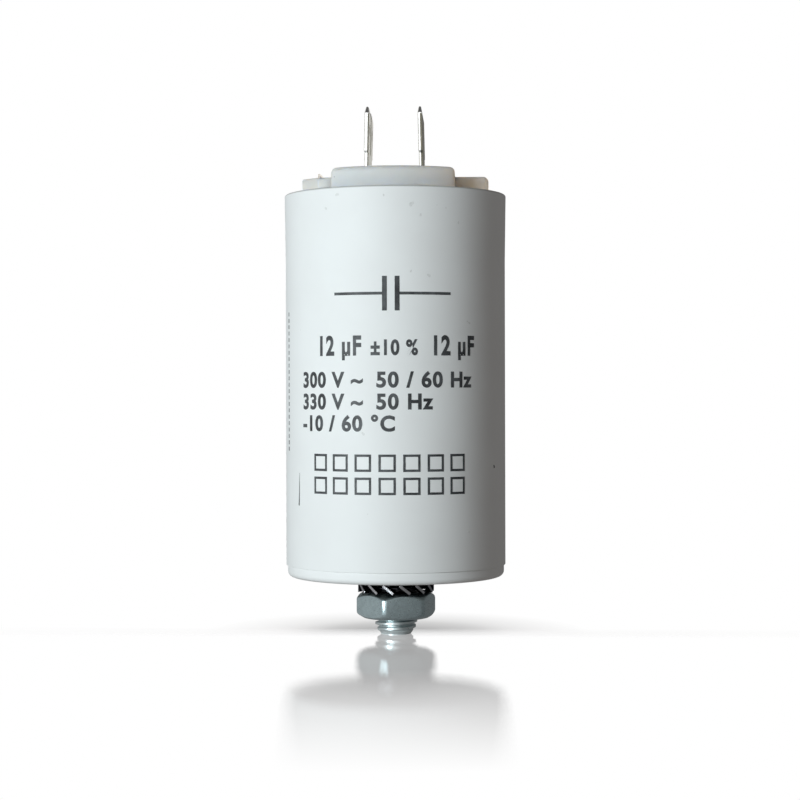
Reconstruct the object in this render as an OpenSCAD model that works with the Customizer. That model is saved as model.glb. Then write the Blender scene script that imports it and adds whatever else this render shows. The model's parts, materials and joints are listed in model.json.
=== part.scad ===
// Motor-run capacitor: a round plastic case with double push-on tabs on its lid
// and a threaded stud with nut and lock washer in its base.
// The origin is the centre of the base, +Z points to the tabs, -Y is the front.

/* [Case] */
// Outside diameter of the case
case_d = 40; // [36:0.5:60]
// Height of the case from its base to its rim
case_h = 69.3; // [60:0.1:120]
// Wall of the case
case_wall = 1.8; // [1.2:0.1:2.4]
// Floor of the case
base_t = 2.6; // [2:0.1:5]
// Radius that the mouth gains over the flared top
mouth_flare = 0.17; // [0:0.01:0.3]
// Height of the flared top
mouth_flare_h = 12; // [6:0.5:20]
// Rounding of the rim
rim_edge_r = 0.35; // [0.1:0.05:0.5]
// Height of the narrower ring at the foot
foot_h = 2.15; // [1.6:0.05:4]
// Step from the wall in to that ring
foot_step = 0.28; // [0.1:0.02:0.6]
// Rounding of the foot's lower edge
foot_edge_r = 1; // [0.4:0.1:1.5]
// Depth of the relief round the stud, under the base
relief_h = 0.5; // [0.2:0.1:1]
// Ribs under the insulating disc
rib_count = 6; // [3:1:12]
// Thickness of a rib
rib_t = 1.6; // [1:0.1:3]

/* [Lid] */
// Thickness of the lid's plate
lid_t = 2.5; // [1.5:0.1:4]
// How far the plate lies below the rim
lid_sink = 0.5; // [0.2:0.1:1.5]
// Width of the ledge that the plate rests on
ledge_w = 0.5; // [0.3:0.05:0.8]
// Depth of the terminal block, front to back
block_d = 27.6; // [24:0.1:32]
// Radius of the terminal block's curved front and back
block_curve_r = 19; // [16:0.5:30]
// Width of the terminal block between its flats
block_w = 22; // [18:0.1:24]
// Height of the terminal block over the rim
block_h = 4.2; // [3:0.1:8]
// Wall of the hollow terminal block
block_wall = 1.8; // [1.2:0.1:2.5]
// Roof of the hollow terminal block
block_roof = 1.8; // [1.2:0.1:3]
// Rounding of the terminal block's upper edge
block_edge_r = 1; // [0.2:0.1:1.2]
// Diameter across the two cover lugs
lug_d = 34.2; // [32:0.1:36]
// Height of the lugs over the rim
lug_h = 3.25; // [2:0.05:6]
// Length of a lug, front to back
lug_l = 5.6; // [4:0.1:12]
// Slanted lead-in at one end of each lug
lug_lead_in = 3.2; // [1:0.1:4]
// Diameter of the moulding gate's stub
gate_d = 0.8; // [0.4:0.1:1.2]
// Height of the moulding gate's stub
gate_h = 0.7; // [0.3:0.05:1.5]
// Distance of the gate's stub from the lug's outer edge
gate_inset = 3.5; // [2:0.1:5]
// Distance of the gate's stub in front of the middle
gate_front = 1.6; // [0:0.1:2]

/* [Terminals] */
// Width of one push-on tab
tab_w = 6.3; // [4.8:0.1:6.3]
// Thickness of the sheet that the terminals are cut from
tab_t = 0.8; // [0.5:0.1:1]
// Length of a tab above its shoulder
tab_l = 8.15; // [6:0.05:10]
// Gap between the two tabs of one terminal
tab_gap = 2; // [1:0.1:3]
// Distance between the two terminals
terminal_pitch = 9.7; // [8:0.1:12]
// Width of the neck below the shoulders
neck_w = 12; // [8:0.1:13]
// Height of the neck over the terminal block
neck_h = 3.2; // [2:0.1:6]
// Width of the foot under the roof
foot_w = 5; // [3:0.1:6]
// Length of the foot under the roof
foot_l = 4; // [3:0.1:6]
// Corner cut at a tab's tip
tip_corner = 1.2; // [0.4:0.1:1.5]
// Length of the bevel at a tab's tip
tip_bevel_l = 1.2; // [0.6:0.1:2]
// Thickness left at a tab's tip
tip_t = 0.4; // [0.2:0.05:0.5]
// Diameter of the latch hole in a tab
latch_d = 1.8; // [1.2:0.1:2]
// Distance of the latch hole from the tip
latch_drop = 4; // [3:0.1:5]

/* [Winding] */
// Resin between the wrapped roll and the case
resin_wall = 2.25; // [1:0.05:4]
// Room between the roll and the lid's plate
head_room = 11; // [8:0.5:20]
// Thickness of the wrap round the roll
wrap_t = 0.4; // [0.2:0.1:1]
// Bore of the core tube
core_bore_d = 5; // [4.6:0.1:7]
// Wall of the core tube
core_wall = 1.2; // [0.8:0.1:2]
// Thickness of the sprayed metal on each end
spray_t = 0.5; // [0.3:0.1:1]
// Thickness of the insulating disc under the roll
disc_t = 1.6; // [1.4:0.1:3]
// Air left between the resin and the lid's plate
air_gap = 1.5; // [0.5:0.1:3]

/* [Leads] */
// Width of a lead strip
strip_w = 3; // [2:0.1:3]
// Thickness of a lead strip
strip_t = 0.3; // [0.2:0.05:0.4]
// Length of a strip's foot on the sprayed metal
strip_foot_l = 5; // [3:0.1:6]
// Height of the long lead's bridge over the roll
bridge_rise = 3; // [2:0.1:4]
// Lap of a strip on a terminal's foot
lap_l = 3; // [2:0.1:3]
// Wall of the sleeve on the long lead
sleeve_wall = 0.5; // [0.3:0.1:0.6]
// Height of the sleeve over the roll
sleeve_rise = 1.5; // [0.5:0.1:1.8]
// Radius of a solder joint
solder_r = 1.2; // [0.8:0.1:1.4]
// Radius of a solder joint's top
solder_tip_r = 0.6; // [0.3:0.1:0.7]
// Height of a solder joint
solder_h = 0.5; // [0.3:0.05:0.6]

/* [Stud and nut] */
// Diameter of the stud's thread
stud_d = 8; // [6:1:8]
// Length of the stud below the base
stud_l = 10.6; // [10:0.1:16]
// Chamfer at the stud's end
stud_chamfer = 1.2; // [0.5:0.1:1.5]
// Width across the flats of the stud's head
head_af = 13; // [12:0.5:14]
// Height of the stud's head
head_h = 4; // [3:0.1:6]
// Width across the flats of the nut
nut_af = 13; // [12:0.5:14]
// Height of the nut
nut_h = 4.7; // [4:0.1:6.5]
// Distance of the nut's upper face below the base
nut_drop = 2.95; // [2.5:0.05:3.5]
// Turn of the nut on the stud
nut_turn = 15; // [0:1:60]
// What the rounding takes off the nut's corners
nut_corner_cut = 0.15; // [0.1:0.05:0.4]
// Radius lost at the nut's faces by their chamfer
nut_face_cut = 0.6; // [0.1:0.05:0.8]
// Angle of the nut's chamfer
nut_chamfer_angle = 30; // [15:1:35]
// Chamfer at the mouths of the nut's bore
nut_bore_lead = 0.35; // [0.1:0.05:0.5]
// Bore of the lock washer
washer_bore_d = 8.4; // [8.3:0.1:8.8]
// Diameter over the lock washer's teeth
washer_d = 14; // [13.5:0.1:15]
// Thickness of the lock washer
washer_t = 0.5; // [0.4:0.05:0.8]
// Width of the lock washer's flat ring
washer_ring_w = 1.4; // [1:0.1:1.6]
// Teeth on the lock washer
tooth_count = 14; // [10:1:14]
// Width of a tooth
tooth_w = 2.2; // [1.5:0.1:2.3]
// Length of a tooth's root inside the flat ring
tooth_root = 0.45; // [0.3:0.05:0.8]
// Twist of a tooth out of the flat
tooth_twist = 38; // [20:1:45]
// Turn of the lock washer on the stud
washer_turn = 3; // [0:1:25]

/* [Fits] */
// Clearance round the lid's plate
lid_clear = 0.1; // [0.05:0.05:0.2]
// Clearance round a terminal in the roof
slot_clear = 0.05; // [0.02:0.01:0.1]
// Clearance of the stud in the case
stud_clear = 0.05; // [0.02:0.01:0.1]
// Clearance of the nut on the stud
nut_clear = 0.05; // [0.02:0.01:0.1]
// Clearance round the stud's head
head_clear = 0.1; // [0.05:0.05:0.2]
// Clearance between nested parts inside the case
nest_clear = 0.05; // [0.02:0.01:0.1]
// Clearance between the washer and the rim of the relief
relief_clear = 1.2; // [0.5:0.1:2]
// Clearance between the washer's teeth and the nut
seat_clear = 0.02; // [0.01:0.01:0.05]

/* [Hidden] */
$fn = 96;
// Overrun of a cut past the face that it opens, or of a joined shape into its neighbour
cut = 0.5;
sides = [-1, 1];

case_r = case_d / 2;
rim_r = case_r + mouth_flare;
foot_r = case_r - foot_step;
bore_r = case_r - case_wall;
mouth_r = bore_r + ledge_w;
ledge_z = case_h - lid_sink - lid_t;

stud_r = stud_d / 2;
head_r = head_af / sqrt(3);
head_pocket_r = (head_af + 2 * head_clear) / sqrt(3);
stud_boss_r = head_pocket_r + case_wall;
disc_z = base_t + head_h + head_clear;
disc_r = bore_r - nest_clear;

plate_z = ledge_z + lid_t;
block_top = case_h + block_h;
roof_z = block_top - block_roof;
curve_y = block_curve_r - block_d / 2;
lug_r = lug_d / 2;
lug_x = block_w / 2 - block_wall;
gate_x = -(lug_r - gate_inset);
gate_y = -gate_front;

terminal_x = terminal_pitch / 2;
shoulder_z = block_top + neck_h;
tip_z = shoulder_z + tab_l;
tab_reach = tab_w + tab_gap / 2;
foot_z = roof_z - foot_l;

spray_low_z = disc_z + disc_t;
roll_z = spray_low_z + spray_t;
roll_top = ledge_z - head_room - spray_t;
spray_top = roll_top + spray_t;
wrap_r = bore_r - resin_wall;
roll_r = wrap_r - wrap_t - nest_clear;
core_bore_r = core_bore_d / 2;
core_r = core_bore_r + core_wall;
resin_top = ledge_z - air_gap;

strip_x = terminal_x + tab_t / 2;
lap_top = foot_z + lap_l;
bridge_z = spray_top + bridge_rise;
sleeve_bore_r = sqrt(pow(strip_w / 2, 2) + pow(strip_t / 2, 2)) + nest_clear;
sleeve_r = sleeve_bore_r + sleeve_wall;
groove_h = strip_t + solder_h + nest_clear;

nut_z = -nut_drop - nut_h;
nut_corner_r = nut_af / sqrt(3) - nut_corner_cut;
nut_face_r = nut_af / 2 - nut_face_cut;
nut_chamfer_h = (nut_corner_r - nut_face_r) * tan(nut_chamfer_angle);
nut_bore_r = stud_r + nut_clear;
washer_r = washer_d / 2;
washer_bore_r = washer_bore_d / 2;
washer_ring_r = washer_bore_r + washer_ring_w;
tooth_rise = tooth_w / 2 * sin(tooth_twist) + washer_t / 2 * cos(tooth_twist);
washer_z = -nut_drop + seat_clear + tooth_rise;
relief_r = washer_r + relief_clear;

// A hollow cylinder that stands on the height z.
module tube(outer_r, inner_r, z, h) {
    translate([0, 0, z]) difference() {
        cylinder(r = outer_r, h = h);
        translate([0, 0, -cut]) cylinder(r = inner_r, h = h + 2 * cut);
    }
}

// A box given by its lowest and highest corners, grown by a clearance on all sides.
module block(low, high, grow = 0) {
    size = high - low;
    margin = [grow, grow, grow];
    translate(low - margin) cube(size + 2 * margin);
}

// The half section of a disc from 0 to h with its upper outer edge rounded.
module rounded_half(r, h, edge_r) {
    square([r - edge_r, h]);
    square([r, h - edge_r]);
    translate([r - edge_r, h - edge_r]) circle(edge_r);
}

// The case's half section: narrower foot, straight wall, flared mouth, bore and lid ledge.
module case_section() {
    flare_z = case_h - mouth_flare_h;
    difference() {
        union() {
            translate([0, foot_h]) mirror([0, 1]) rounded_half(foot_r, foot_h, foot_edge_r);
            polygon([[0, foot_h], [case_r, foot_h], [case_r, flare_z],
                [rim_r, case_h - rim_edge_r], [rim_r - rim_edge_r, case_h - rim_edge_r],
                [rim_r - rim_edge_r, case_h], [0, case_h]]);
            translate([rim_r - rim_edge_r, case_h - rim_edge_r]) circle(rim_edge_r);
        }
        translate([0, base_t]) square([bore_r, case_h]);
        translate([0, ledge_z]) square([mouth_r, case_h]);
        translate([0, -cut]) square([relief_r, relief_h + cut]);
    }
}

module stud_boss_and_ribs() {
    support_h = disc_z - base_t + cut;
    translate([0, 0, base_t - cut]) {
        cylinder(r = stud_boss_r, h = support_h);
        for (i = [0 : rib_count - 1])
            rotate(i * 360 / rib_count)
                translate([0, -rib_t / 2, 0])
                    cube([bore_r + case_wall / 2, rib_t, support_h]);
    }
}

module case() {
    color("whitesmoke") difference() {
        union() {
            rotate_extrude() case_section();
            stud_boss_and_ribs();
        }
        translate([0, 0, -cut]) cylinder(r = stud_r + stud_clear, h = base_t + 2 * cut);
        translate([0, 0, base_t]) cylinder(r = head_pocket_r, h = head_h + head_clear + cut, $fn = 6);
    }
}

// The plan of the terminal block's hollow: two flats, and a curve at the front and the back.
module hollow_plan() {
    intersection() {
        translate([0, curve_y]) circle(block_curve_r - block_wall);
        translate([0, -curve_y]) circle(block_curve_r - block_wall);
        square([block_w - 2 * block_wall, block_d], center = true);
    }
}

// A disc as high as the terminal block, with its upper edge rounded.
module block_disc(rise) {
    rotate_extrude() rounded_half(block_curve_r, rise, block_edge_r);
}

// The terminal block with its rounded upper edge, from the lid's plate up.
module terminal_block() {
    rise = block_top - plate_z + cut;
    translate([0, 0, plate_z - cut]) intersection() {
        translate([0, curve_y, 0]) block_disc(rise);
        translate([0, -curve_y, 0]) block_disc(rise);
        rotate([90, 0, 0]) linear_extrude(block_d, center = true)
            for (s = [0, 1]) mirror([s, 0]) rounded_half(block_w / 2, rise, block_edge_r);
    }
}

// One cover lug on the +X side: square at the front, slanted at the back.
module lug() {
    rise = case_h + lug_h - plate_z + cut;
    half_l = lug_l / 2;
    translate([0, 0, plate_z - cut]) linear_extrude(rise) intersection() {
        circle(lug_r);
        polygon([[lug_x, -half_l], [lug_r, -half_l], [lug_r, half_l - lug_lead_in],
            [lug_r - lug_lead_in, half_l], [lug_x, half_l]]);
    }
}

module lid() {
    color("ivory") difference() {
        union() {
            translate([0, 0, ledge_z]) cylinder(r = mouth_r - lid_clear, h = lid_t);
            terminal_block();
            for (turn = [0, 180]) rotate(turn) lug();
            translate([gate_x, gate_y, case_h + lug_h - cut])
                cylinder(d = gate_d, h = gate_h + cut);
        }
        translate([0, 0, ledge_z - cut]) linear_extrude(roof_z - ledge_z + cut) hollow_plan();
        for (side = sides)
            block([side * terminal_x - tab_t / 2, -neck_w / 2, roof_z - cut],
                [side * terminal_x + tab_t / 2, neck_w / 2, block_top + cut], slot_clear);
    }
}

// The flat outline of a terminal, Y across and Z up: foot, neck and two tabs.
module terminal_outline() {
    half = [[foot_w / 2, foot_z], [foot_w / 2, roof_z], [neck_w / 2, roof_z],
        [neck_w / 2, shoulder_z], [tab_reach, shoulder_z],
        [tab_reach, tip_z - tip_corner], [tab_reach - tip_corner, tip_z],
        [tab_gap / 2 + tip_corner, tip_z], [tab_gap / 2, tip_z - tip_corner],
        [tab_gap / 2, shoulder_z]];
    other_half = [for (i = [len(half) - 1 : -1 : 0]) [-half[i][0], half[i][1]]];
    difference() {
        polygon(concat(half, other_half));
        for (side = sides)
            translate([side * (tab_gap + tab_w) / 2, tip_z - latch_drop]) circle(d = latch_d);
    }
}

// What the bevel takes off one face at the tips.
module tip_bevel() {
    rotate([90, 0, 0]) linear_extrude(2 * tab_reach + 2 * cut, center = true)
        polygon([[tab_t / 2, tip_z - tip_bevel_l], [tip_t / 2, tip_z], [tip_t / 2, tip_z + cut],
            [tab_t / 2 + cut, tip_z + cut], [tab_t / 2 + cut, tip_z - tip_bevel_l]]);
}

module terminal(side) {
    color("darkkhaki") translate([side * terminal_x, 0, 0]) difference() {
        rotate([90, 0, 90]) linear_extrude(tab_t, center = true) terminal_outline();
        for (s = [0, 1]) mirror([s, 0, 0]) tip_bevel();
    }
}

module terminal_left() { terminal(-1); }
module terminal_right() { terminal(1); }

module film_roll() {
    color("lightgray") tube(roll_r, core_r + nest_clear, roll_z, roll_top - roll_z);
}

module core_tube() {
    color("white") tube(core_r, core_bore_r, roll_z, roll_top - roll_z);
}

module roll_wrap() {
    color("khaki") tube(wrap_r, roll_r + nest_clear, roll_z, roll_top - roll_z);
}

module end_spray_top() {
    color("slategray") tube(roll_r, core_r, roll_top, spray_t);
}

module end_spray_bottom() {
    color("slategray") tube(roll_r, core_r, spray_low_z, spray_t);
}

// The strip from the top of the roll to the left terminal.
module short_lead_shape(grow = 0) {
    block([-strip_x - strip_t - strip_foot_l, -strip_w / 2, spray_top],
        [-strip_x, strip_w / 2, spray_top + strip_t], grow);
    block([-strip_x - strip_t, -strip_w / 2, spray_top], [-strip_x, strip_w / 2, lap_top], grow);
}

// The strip from the bottom of the roll, up the core and over to the right terminal.
module long_lead_shape(grow = 0) {
    half_t = strip_t / 2;
    half_w = strip_w / 2;
    block([-half_t, -half_w, spray_low_z - strip_t],
        [core_r + strip_foot_l, half_w, spray_low_z], grow);
    block([-half_t, -half_w, spray_low_z - strip_t], [half_t, half_w, bridge_z + strip_t], grow);
    block([-half_t, -half_w, bridge_z], [strip_x + strip_t, half_w, bridge_z + strip_t], grow);
    block([strip_x, -half_w, bridge_z], [strip_x + strip_t, half_w, lap_top], grow);
}

module short_lead() { color("peru") short_lead_shape(); }
module long_lead() { color("peru") long_lead_shape(); }

module lead_sleeve() {
    color("yellow")
        tube(sleeve_r, sleeve_bore_r, spray_low_z, spray_top + sleeve_rise - spray_low_z);
}

// One solder joint on its face, which points along +Z.
module solder_cone(grow = 0) {
    translate([0, 0, -grow])
        cylinder(r1 = solder_r + grow, r2 = solder_tip_r + grow, h = solder_h + 2 * grow);
}

module solder_on_roll(grow = 0) {
    translate([-strip_x - strip_foot_l + solder_r, 0, spray_top + strip_t]) solder_cone(grow);
}

module solder_joints() {
    lap_mid = lap_top - lap_l / 2;
    color("silver") {
        solder_on_roll();
        translate([core_r + strip_foot_l - solder_r, 0, spray_low_z - strip_t])
            mirror([0, 0, 1]) solder_cone();
        for (side = sides)
            translate([side * (strip_x + strip_t), 0, lap_mid]) rotate([0, side * 90, 0]) solder_cone();
    }
}

module insulating_disc() {
    color("burlywood") difference() {
        translate([0, 0, disc_z]) cylinder(r = disc_r, h = disc_t);
        block([-strip_t / 2, -strip_w / 2, spray_low_z - groove_h + nest_clear],
            [core_r + strip_foot_l, strip_w / 2, spray_low_z + cut], nest_clear);
    }
}

module potting_resin() {
    color("sienna") difference() {
        translate([0, 0, spray_low_z]) cylinder(r = bore_r - nest_clear, h = resin_top - spray_low_z);
        translate([0, 0, spray_low_z - cut])
            cylinder(r = wrap_r + nest_clear, h = spray_top - spray_low_z + cut);
        cylinder(r = sleeve_r + nest_clear, h = spray_top + sleeve_rise + nest_clear);
        short_lead_shape(nest_clear);
        long_lead_shape(nest_clear);
        solder_on_roll(nest_clear);
    }
}

module stud_bolt() {
    color("lightsteelblue") {
        translate([0, 0, base_t]) cylinder(r = head_r, h = head_h, $fn = 6);
        translate([0, 0, -stud_l + stud_chamfer])
            cylinder(r = stud_r, h = stud_l - stud_chamfer + base_t + cut);
        translate([0, 0, -stud_l])
            cylinder(r1 = stud_r - stud_chamfer, r2 = stud_r, h = stud_chamfer);
    }
}

// One twisted tooth, its root inside the flat ring.
module washer_tooth() {
    tooth_l = washer_r - washer_ring_r + tooth_root;
    translate([washer_r - tooth_l / 2, 0, 0]) rotate([-tooth_twist, 0, 0])
        cube([tooth_l, tooth_w, washer_t], center = true);
}

module lock_washer() {
    color("gray") translate([0, 0, washer_z]) {
        tube(washer_ring_r, washer_bore_r, -washer_t / 2, washer_t);
        for (i = [0 : tooth_count - 1]) rotate(washer_turn + i * 360 / tooth_count) washer_tooth();
    }
}

module hex_nut() {
    color("lightsteelblue") translate([0, 0, nut_z]) difference() {
        intersection() {
            rotate(nut_turn) cylinder(r = nut_af / sqrt(3), h = nut_h, $fn = 6);
            rotate_extrude() polygon([[0, 0], [nut_face_r, 0], [nut_corner_r, nut_chamfer_h],
                [nut_corner_r, nut_h - nut_chamfer_h], [nut_face_r, nut_h], [0, nut_h]]);
        }
        translate([0, 0, -cut]) cylinder(r = nut_bore_r, h = nut_h + 2 * cut);
        cylinder(r1 = nut_bore_r + nut_bore_lead, r2 = nut_bore_r, h = nut_bore_lead);
        translate([0, 0, nut_h - nut_bore_lead])
            cylinder(r1 = nut_bore_r, r2 = nut_bore_r + nut_bore_lead, h = nut_bore_lead);
    }
}

case();
lid();
terminal_left();
terminal_right();
film_roll();
core_tube();
roll_wrap();
end_spray_top();
end_spray_bottom();
short_lead();
long_lead();
lead_sleeve();
solder_joints();
insulating_disc();
potting_resin();
stud_bolt();
lock_washer();
hex_nut();
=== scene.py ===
"""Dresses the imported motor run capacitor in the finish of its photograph.

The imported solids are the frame. Each piece that shows is a closed surface worked out as whole
numpy arrays, in millimetres, and stands where the solid that it replaces stands.
"""

import json
import logging
import math
from collections.abc import Sequence
from dataclasses import dataclass, replace
from enum import Enum

import bmesh
import bpy
import numpy as np
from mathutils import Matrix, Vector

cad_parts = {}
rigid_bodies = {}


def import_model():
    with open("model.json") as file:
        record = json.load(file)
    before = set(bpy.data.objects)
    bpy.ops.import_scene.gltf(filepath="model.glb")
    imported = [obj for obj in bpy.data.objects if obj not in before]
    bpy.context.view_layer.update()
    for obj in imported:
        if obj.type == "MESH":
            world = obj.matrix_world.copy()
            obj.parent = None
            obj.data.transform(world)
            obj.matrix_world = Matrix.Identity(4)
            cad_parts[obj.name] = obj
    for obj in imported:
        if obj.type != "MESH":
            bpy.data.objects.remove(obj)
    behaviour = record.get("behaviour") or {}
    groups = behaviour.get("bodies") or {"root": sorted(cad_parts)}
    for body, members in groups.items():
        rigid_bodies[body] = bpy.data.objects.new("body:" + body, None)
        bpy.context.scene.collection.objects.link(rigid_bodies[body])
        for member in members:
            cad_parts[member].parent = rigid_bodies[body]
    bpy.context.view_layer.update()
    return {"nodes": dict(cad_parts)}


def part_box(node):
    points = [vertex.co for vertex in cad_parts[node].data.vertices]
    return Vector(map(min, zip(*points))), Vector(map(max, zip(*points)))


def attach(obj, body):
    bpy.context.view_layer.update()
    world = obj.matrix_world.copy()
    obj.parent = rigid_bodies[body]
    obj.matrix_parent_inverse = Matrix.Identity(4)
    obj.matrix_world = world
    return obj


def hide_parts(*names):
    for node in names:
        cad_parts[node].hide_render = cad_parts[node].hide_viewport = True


MM = 0.001
TURN = 2.0 * math.pi
WELD = 2e-7
LOG = logging.getLogger("capacitor")

Pair = tuple[float, float]
Triple = tuple[float, float, float]
Rgb = Triple
Inputs = dict[str | int, object]
Socket = bpy.types.NodeSocket


class Body(Enum):
    """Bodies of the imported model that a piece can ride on."""

    CAN = "body"
    WASHER = "washer"
    NUT = "nut"


class Side(Enum):
    """The two terminals, by the sign of their x."""

    LEFT = -1
    RIGHT = 1


@dataclass(frozen=True)
class Shell:
    """A closed surface in millimetres.

    Attributes:
        points: Corner positions, one row each.
        quads: Four corner numbers per face.
    """

    points: np.ndarray
    quads: np.ndarray

    @classmethod
    def from_grid(cls, grid: np.ndarray, closed: bool) -> "Shell":
        """Skins a grid of points whose columns run round a loop.

        Args:
            grid: Positions, shaped (rows, columns, 3).
            closed: Whether the last row joins the first.

        Returns:
            The skinned surface.
        """
        rows, columns = grid.shape[:2]
        numbers = np.arange(rows * columns).reshape(rows, columns)
        near = numbers if closed else numbers[:-1]
        far = np.roll(numbers, -1, axis=0) if closed else numbers[1:]
        quads = np.stack([near, np.roll(near, -1, axis=1), np.roll(far, -1, axis=1), far], axis=-1)
        return cls(grid.reshape(-1, 3), quads.reshape(-1, 4))

    @classmethod
    def capped(cls, loops: Sequence[np.ndarray]) -> "Shell":
        """Skins a stack of loops and closes both ends at their middles.

        Args:
            loops: Loops of equal length, each shaped (columns, 3).

        Returns:
            The closed surface.
        """
        first = np.broadcast_to(loops[0].mean(axis=0), loops[0].shape)
        last = np.broadcast_to(loops[-1].mean(axis=0), loops[-1].shape)
        return cls.from_grid(np.stack([first, *loops, last]), closed=False)

    @classmethod
    def joined(cls, shells: Sequence["Shell"]) -> "Shell":
        """Puts several surfaces into one.

        Args:
            shells: The surfaces.

        Returns:
            One surface that holds them all.
        """
        starts = np.cumsum([0, *(len(shell.points) for shell in shells[:-1])])
        quads = [shell.quads + start for shell, start in zip(shells, starts)]
        return cls(np.concatenate([shell.points for shell in shells]), np.concatenate(quads))


@dataclass(frozen=True)
class Outline:
    """A convex plan with rounded corners, which can be drawn at any inset up to their radius.

    Attributes:
        cores: Centre of the corner circle behind each point.
        normals: Outward direction at each point.
        radius: Radius of the corners.
    """

    cores: np.ndarray
    normals: np.ndarray
    radius: float

    @classmethod
    def rounded(cls, corners: np.ndarray, radius: float, steps: int = 6) -> "Outline":
        """Rounds the corners of a convex polygon given anticlockwise.

        A corner's circle touches both of its edges, and the points on it turn evenly from the
        normal of the edge before to that of the edge after.

        Args:
            corners: The polygon's corners, shaped (count, 2).
            radius: Radius of the corners.
            steps: Points on each corner.

        Returns:
            The rounded plan.
        """
        edges = np.roll(corners, -1, axis=0) - corners
        after = np.column_stack([edges[:, 1], -edges[:, 0]])
        after = after / np.linalg.norm(after, axis=1, keepdims=True)
        before = np.roll(after, 1, axis=0)
        spread = 1.0 + np.sum(before * after, axis=1, keepdims=True)
        cores = corners - radius * (before + after) / spread
        start = np.arctan2(before[:, 1], before[:, 0])
        sweep = (np.arctan2(after[:, 1], after[:, 0]) - start) % TURN
        angles = start[:, None] + sweep[:, None] * np.linspace(0.0, 1.0, steps)
        normals = np.stack([np.cos(angles), np.sin(angles)], axis=-1).reshape(-1, 2)
        return cls(np.repeat(cores, steps, axis=0), normals, radius)

    def marks(self, step: float) -> np.ndarray:
        """Spreads marks along the plan, at its points and evenly between those far apart.

        Args:
            step: Most distance between two marks.

        Returns:
            The number of the point before each mark, plus the share of the way to the next.
        """
        loop = self.flat(0.0)
        lengths = np.linalg.norm(np.roll(loop, -1, axis=0) - loop, axis=1)
        parts = np.maximum(np.ceil(lengths / step), 1.0).astype(int)
        return np.concatenate([number + np.arange(count) / count for number, count in enumerate(parts)])

    def dense(self, marks: np.ndarray) -> "Outline":
        """Adds points along the straight runs.

        Args:
            marks: Where the new plan's points lie, as marks gives them.

        Returns:
            The same plan with more points.
        """
        numbers = np.arange(len(self.cores) + 1)

        def along(values: np.ndarray) -> np.ndarray:
            """Reads values of the points at the marks."""
            loop = np.vstack([values, values[:1]])
            return np.column_stack([np.interp(marks, numbers, column) for column in loop.T])

        normals = along(self.normals)
        normals = normals / np.linalg.norm(normals, axis=1, keepdims=True)
        return Outline(along(self.cores), normals, self.radius)

    def flat(self, inset: float) -> np.ndarray:
        """Draws the plan moved inwards.

        Args:
            inset: Distance inwards from the full outline.

        Returns:
            The loop, shaped (count, 2).
        """
        return self.cores + self.normals * (self.radius - inset)

    def over(self, edge: float, top: float) -> list[np.ndarray]:
        """Draws a rounded upper edge, from the top face round to the side.

        Args:
            edge: Radius of the edge.
            top: Height of the top face.

        Returns:
            The loops, each shaped (count, 3).
        """
        bend = np.radians(np.linspace(0.0, 90.0, 8))
        insets, drops = edge * (1.0 - np.sin(bend)), edge * (1.0 - np.cos(bend))
        return [self.at(inset, top - drop) for inset, drop in zip(insets, drops)]

    def at(self, inset: float, height: float) -> np.ndarray:
        """Draws the plan moved inwards, at a height.

        Args:
            inset: Distance inwards from the full outline.
            height: The loop's z.

        Returns:
            The loop, shaped (count, 3).
        """
        loop = self.flat(inset)
        return np.column_stack([loop, np.full(len(loop), height)])


def arc(centre: Pair, radius: float, start: float, end: float, count: int = 7) -> np.ndarray:
    """Draws an arc.

    Args:
        centre: Its centre.
        radius: Its radius.
        start: Angle of its first point, in degrees.
        end: Angle of its last point, in degrees.
        count: Points on it.

    Returns:
        The points, shaped (count, 2).
    """
    angles = np.radians(np.linspace(start, end, count))
    return np.array(centre) + radius * np.column_stack([np.cos(angles), np.sin(angles)])


def revolve(section: np.ndarray, count: int) -> Shell:
    """Turns a closed section of radius and height about the z axis.

    Args:
        section: Radius and height of each point, shaped (rows, 2).
        count: Columns round the axis.

    Returns:
        The surface of revolution.
    """
    angles = np.linspace(0.0, TURN, count, endpoint=False)
    radius = section[:, :1]
    height = np.broadcast_to(section[:, 1:], (len(section), count))
    grid = np.stack([radius * np.cos(angles), radius * np.sin(angles), height], axis=-1)
    return Shell.from_grid(grid, closed=True)


def ring(radius: float | np.ndarray, height: float | np.ndarray, angles: np.ndarray) -> np.ndarray:
    """Draws a loop round the z axis.

    Args:
        radius: Radius, the same all round or one for each angle.
        height: Height, the same all round or one for each angle.
        angles: Angle of each point, in radians.

    Returns:
        The loop, shaped (count, 3).
    """
    across, deep = radius * np.cos(angles), radius * np.sin(angles)
    return np.column_stack([across, deep, np.zeros_like(angles) + height])


def settle(mesh: bpy.types.Mesh, sharp: float) -> None:
    """Welds seams and poles, turns faces outwards and shades the mesh.

    Args:
        mesh: The mesh to settle.
        sharp: Angle in degrees from which an edge stays sharp.
    """
    work = bmesh.new()
    work.from_mesh(mesh)
    bmesh.ops.remove_doubles(work, verts=work.verts, dist=WELD)
    bmesh.ops.dissolve_degenerate(work, dist=WELD, edges=work.edges)
    bmesh.ops.recalc_face_normals(work, faces=work.faces)
    work.to_mesh(mesh)
    work.free()
    mesh.shade_smooth()
    mesh.set_sharp_from_angle(angle=math.radians(sharp))


def link(name: str, data: bpy.types.ID) -> bpy.types.Object:
    """Makes an object and puts it into the scene.

    Args:
        name: The object's name.
        data: Its mesh, curve, light or camera.

    Returns:
        The new object.
    """
    made = bpy.data.objects.new(name, data)
    bpy.context.scene.collection.objects.link(made)
    return made


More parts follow.
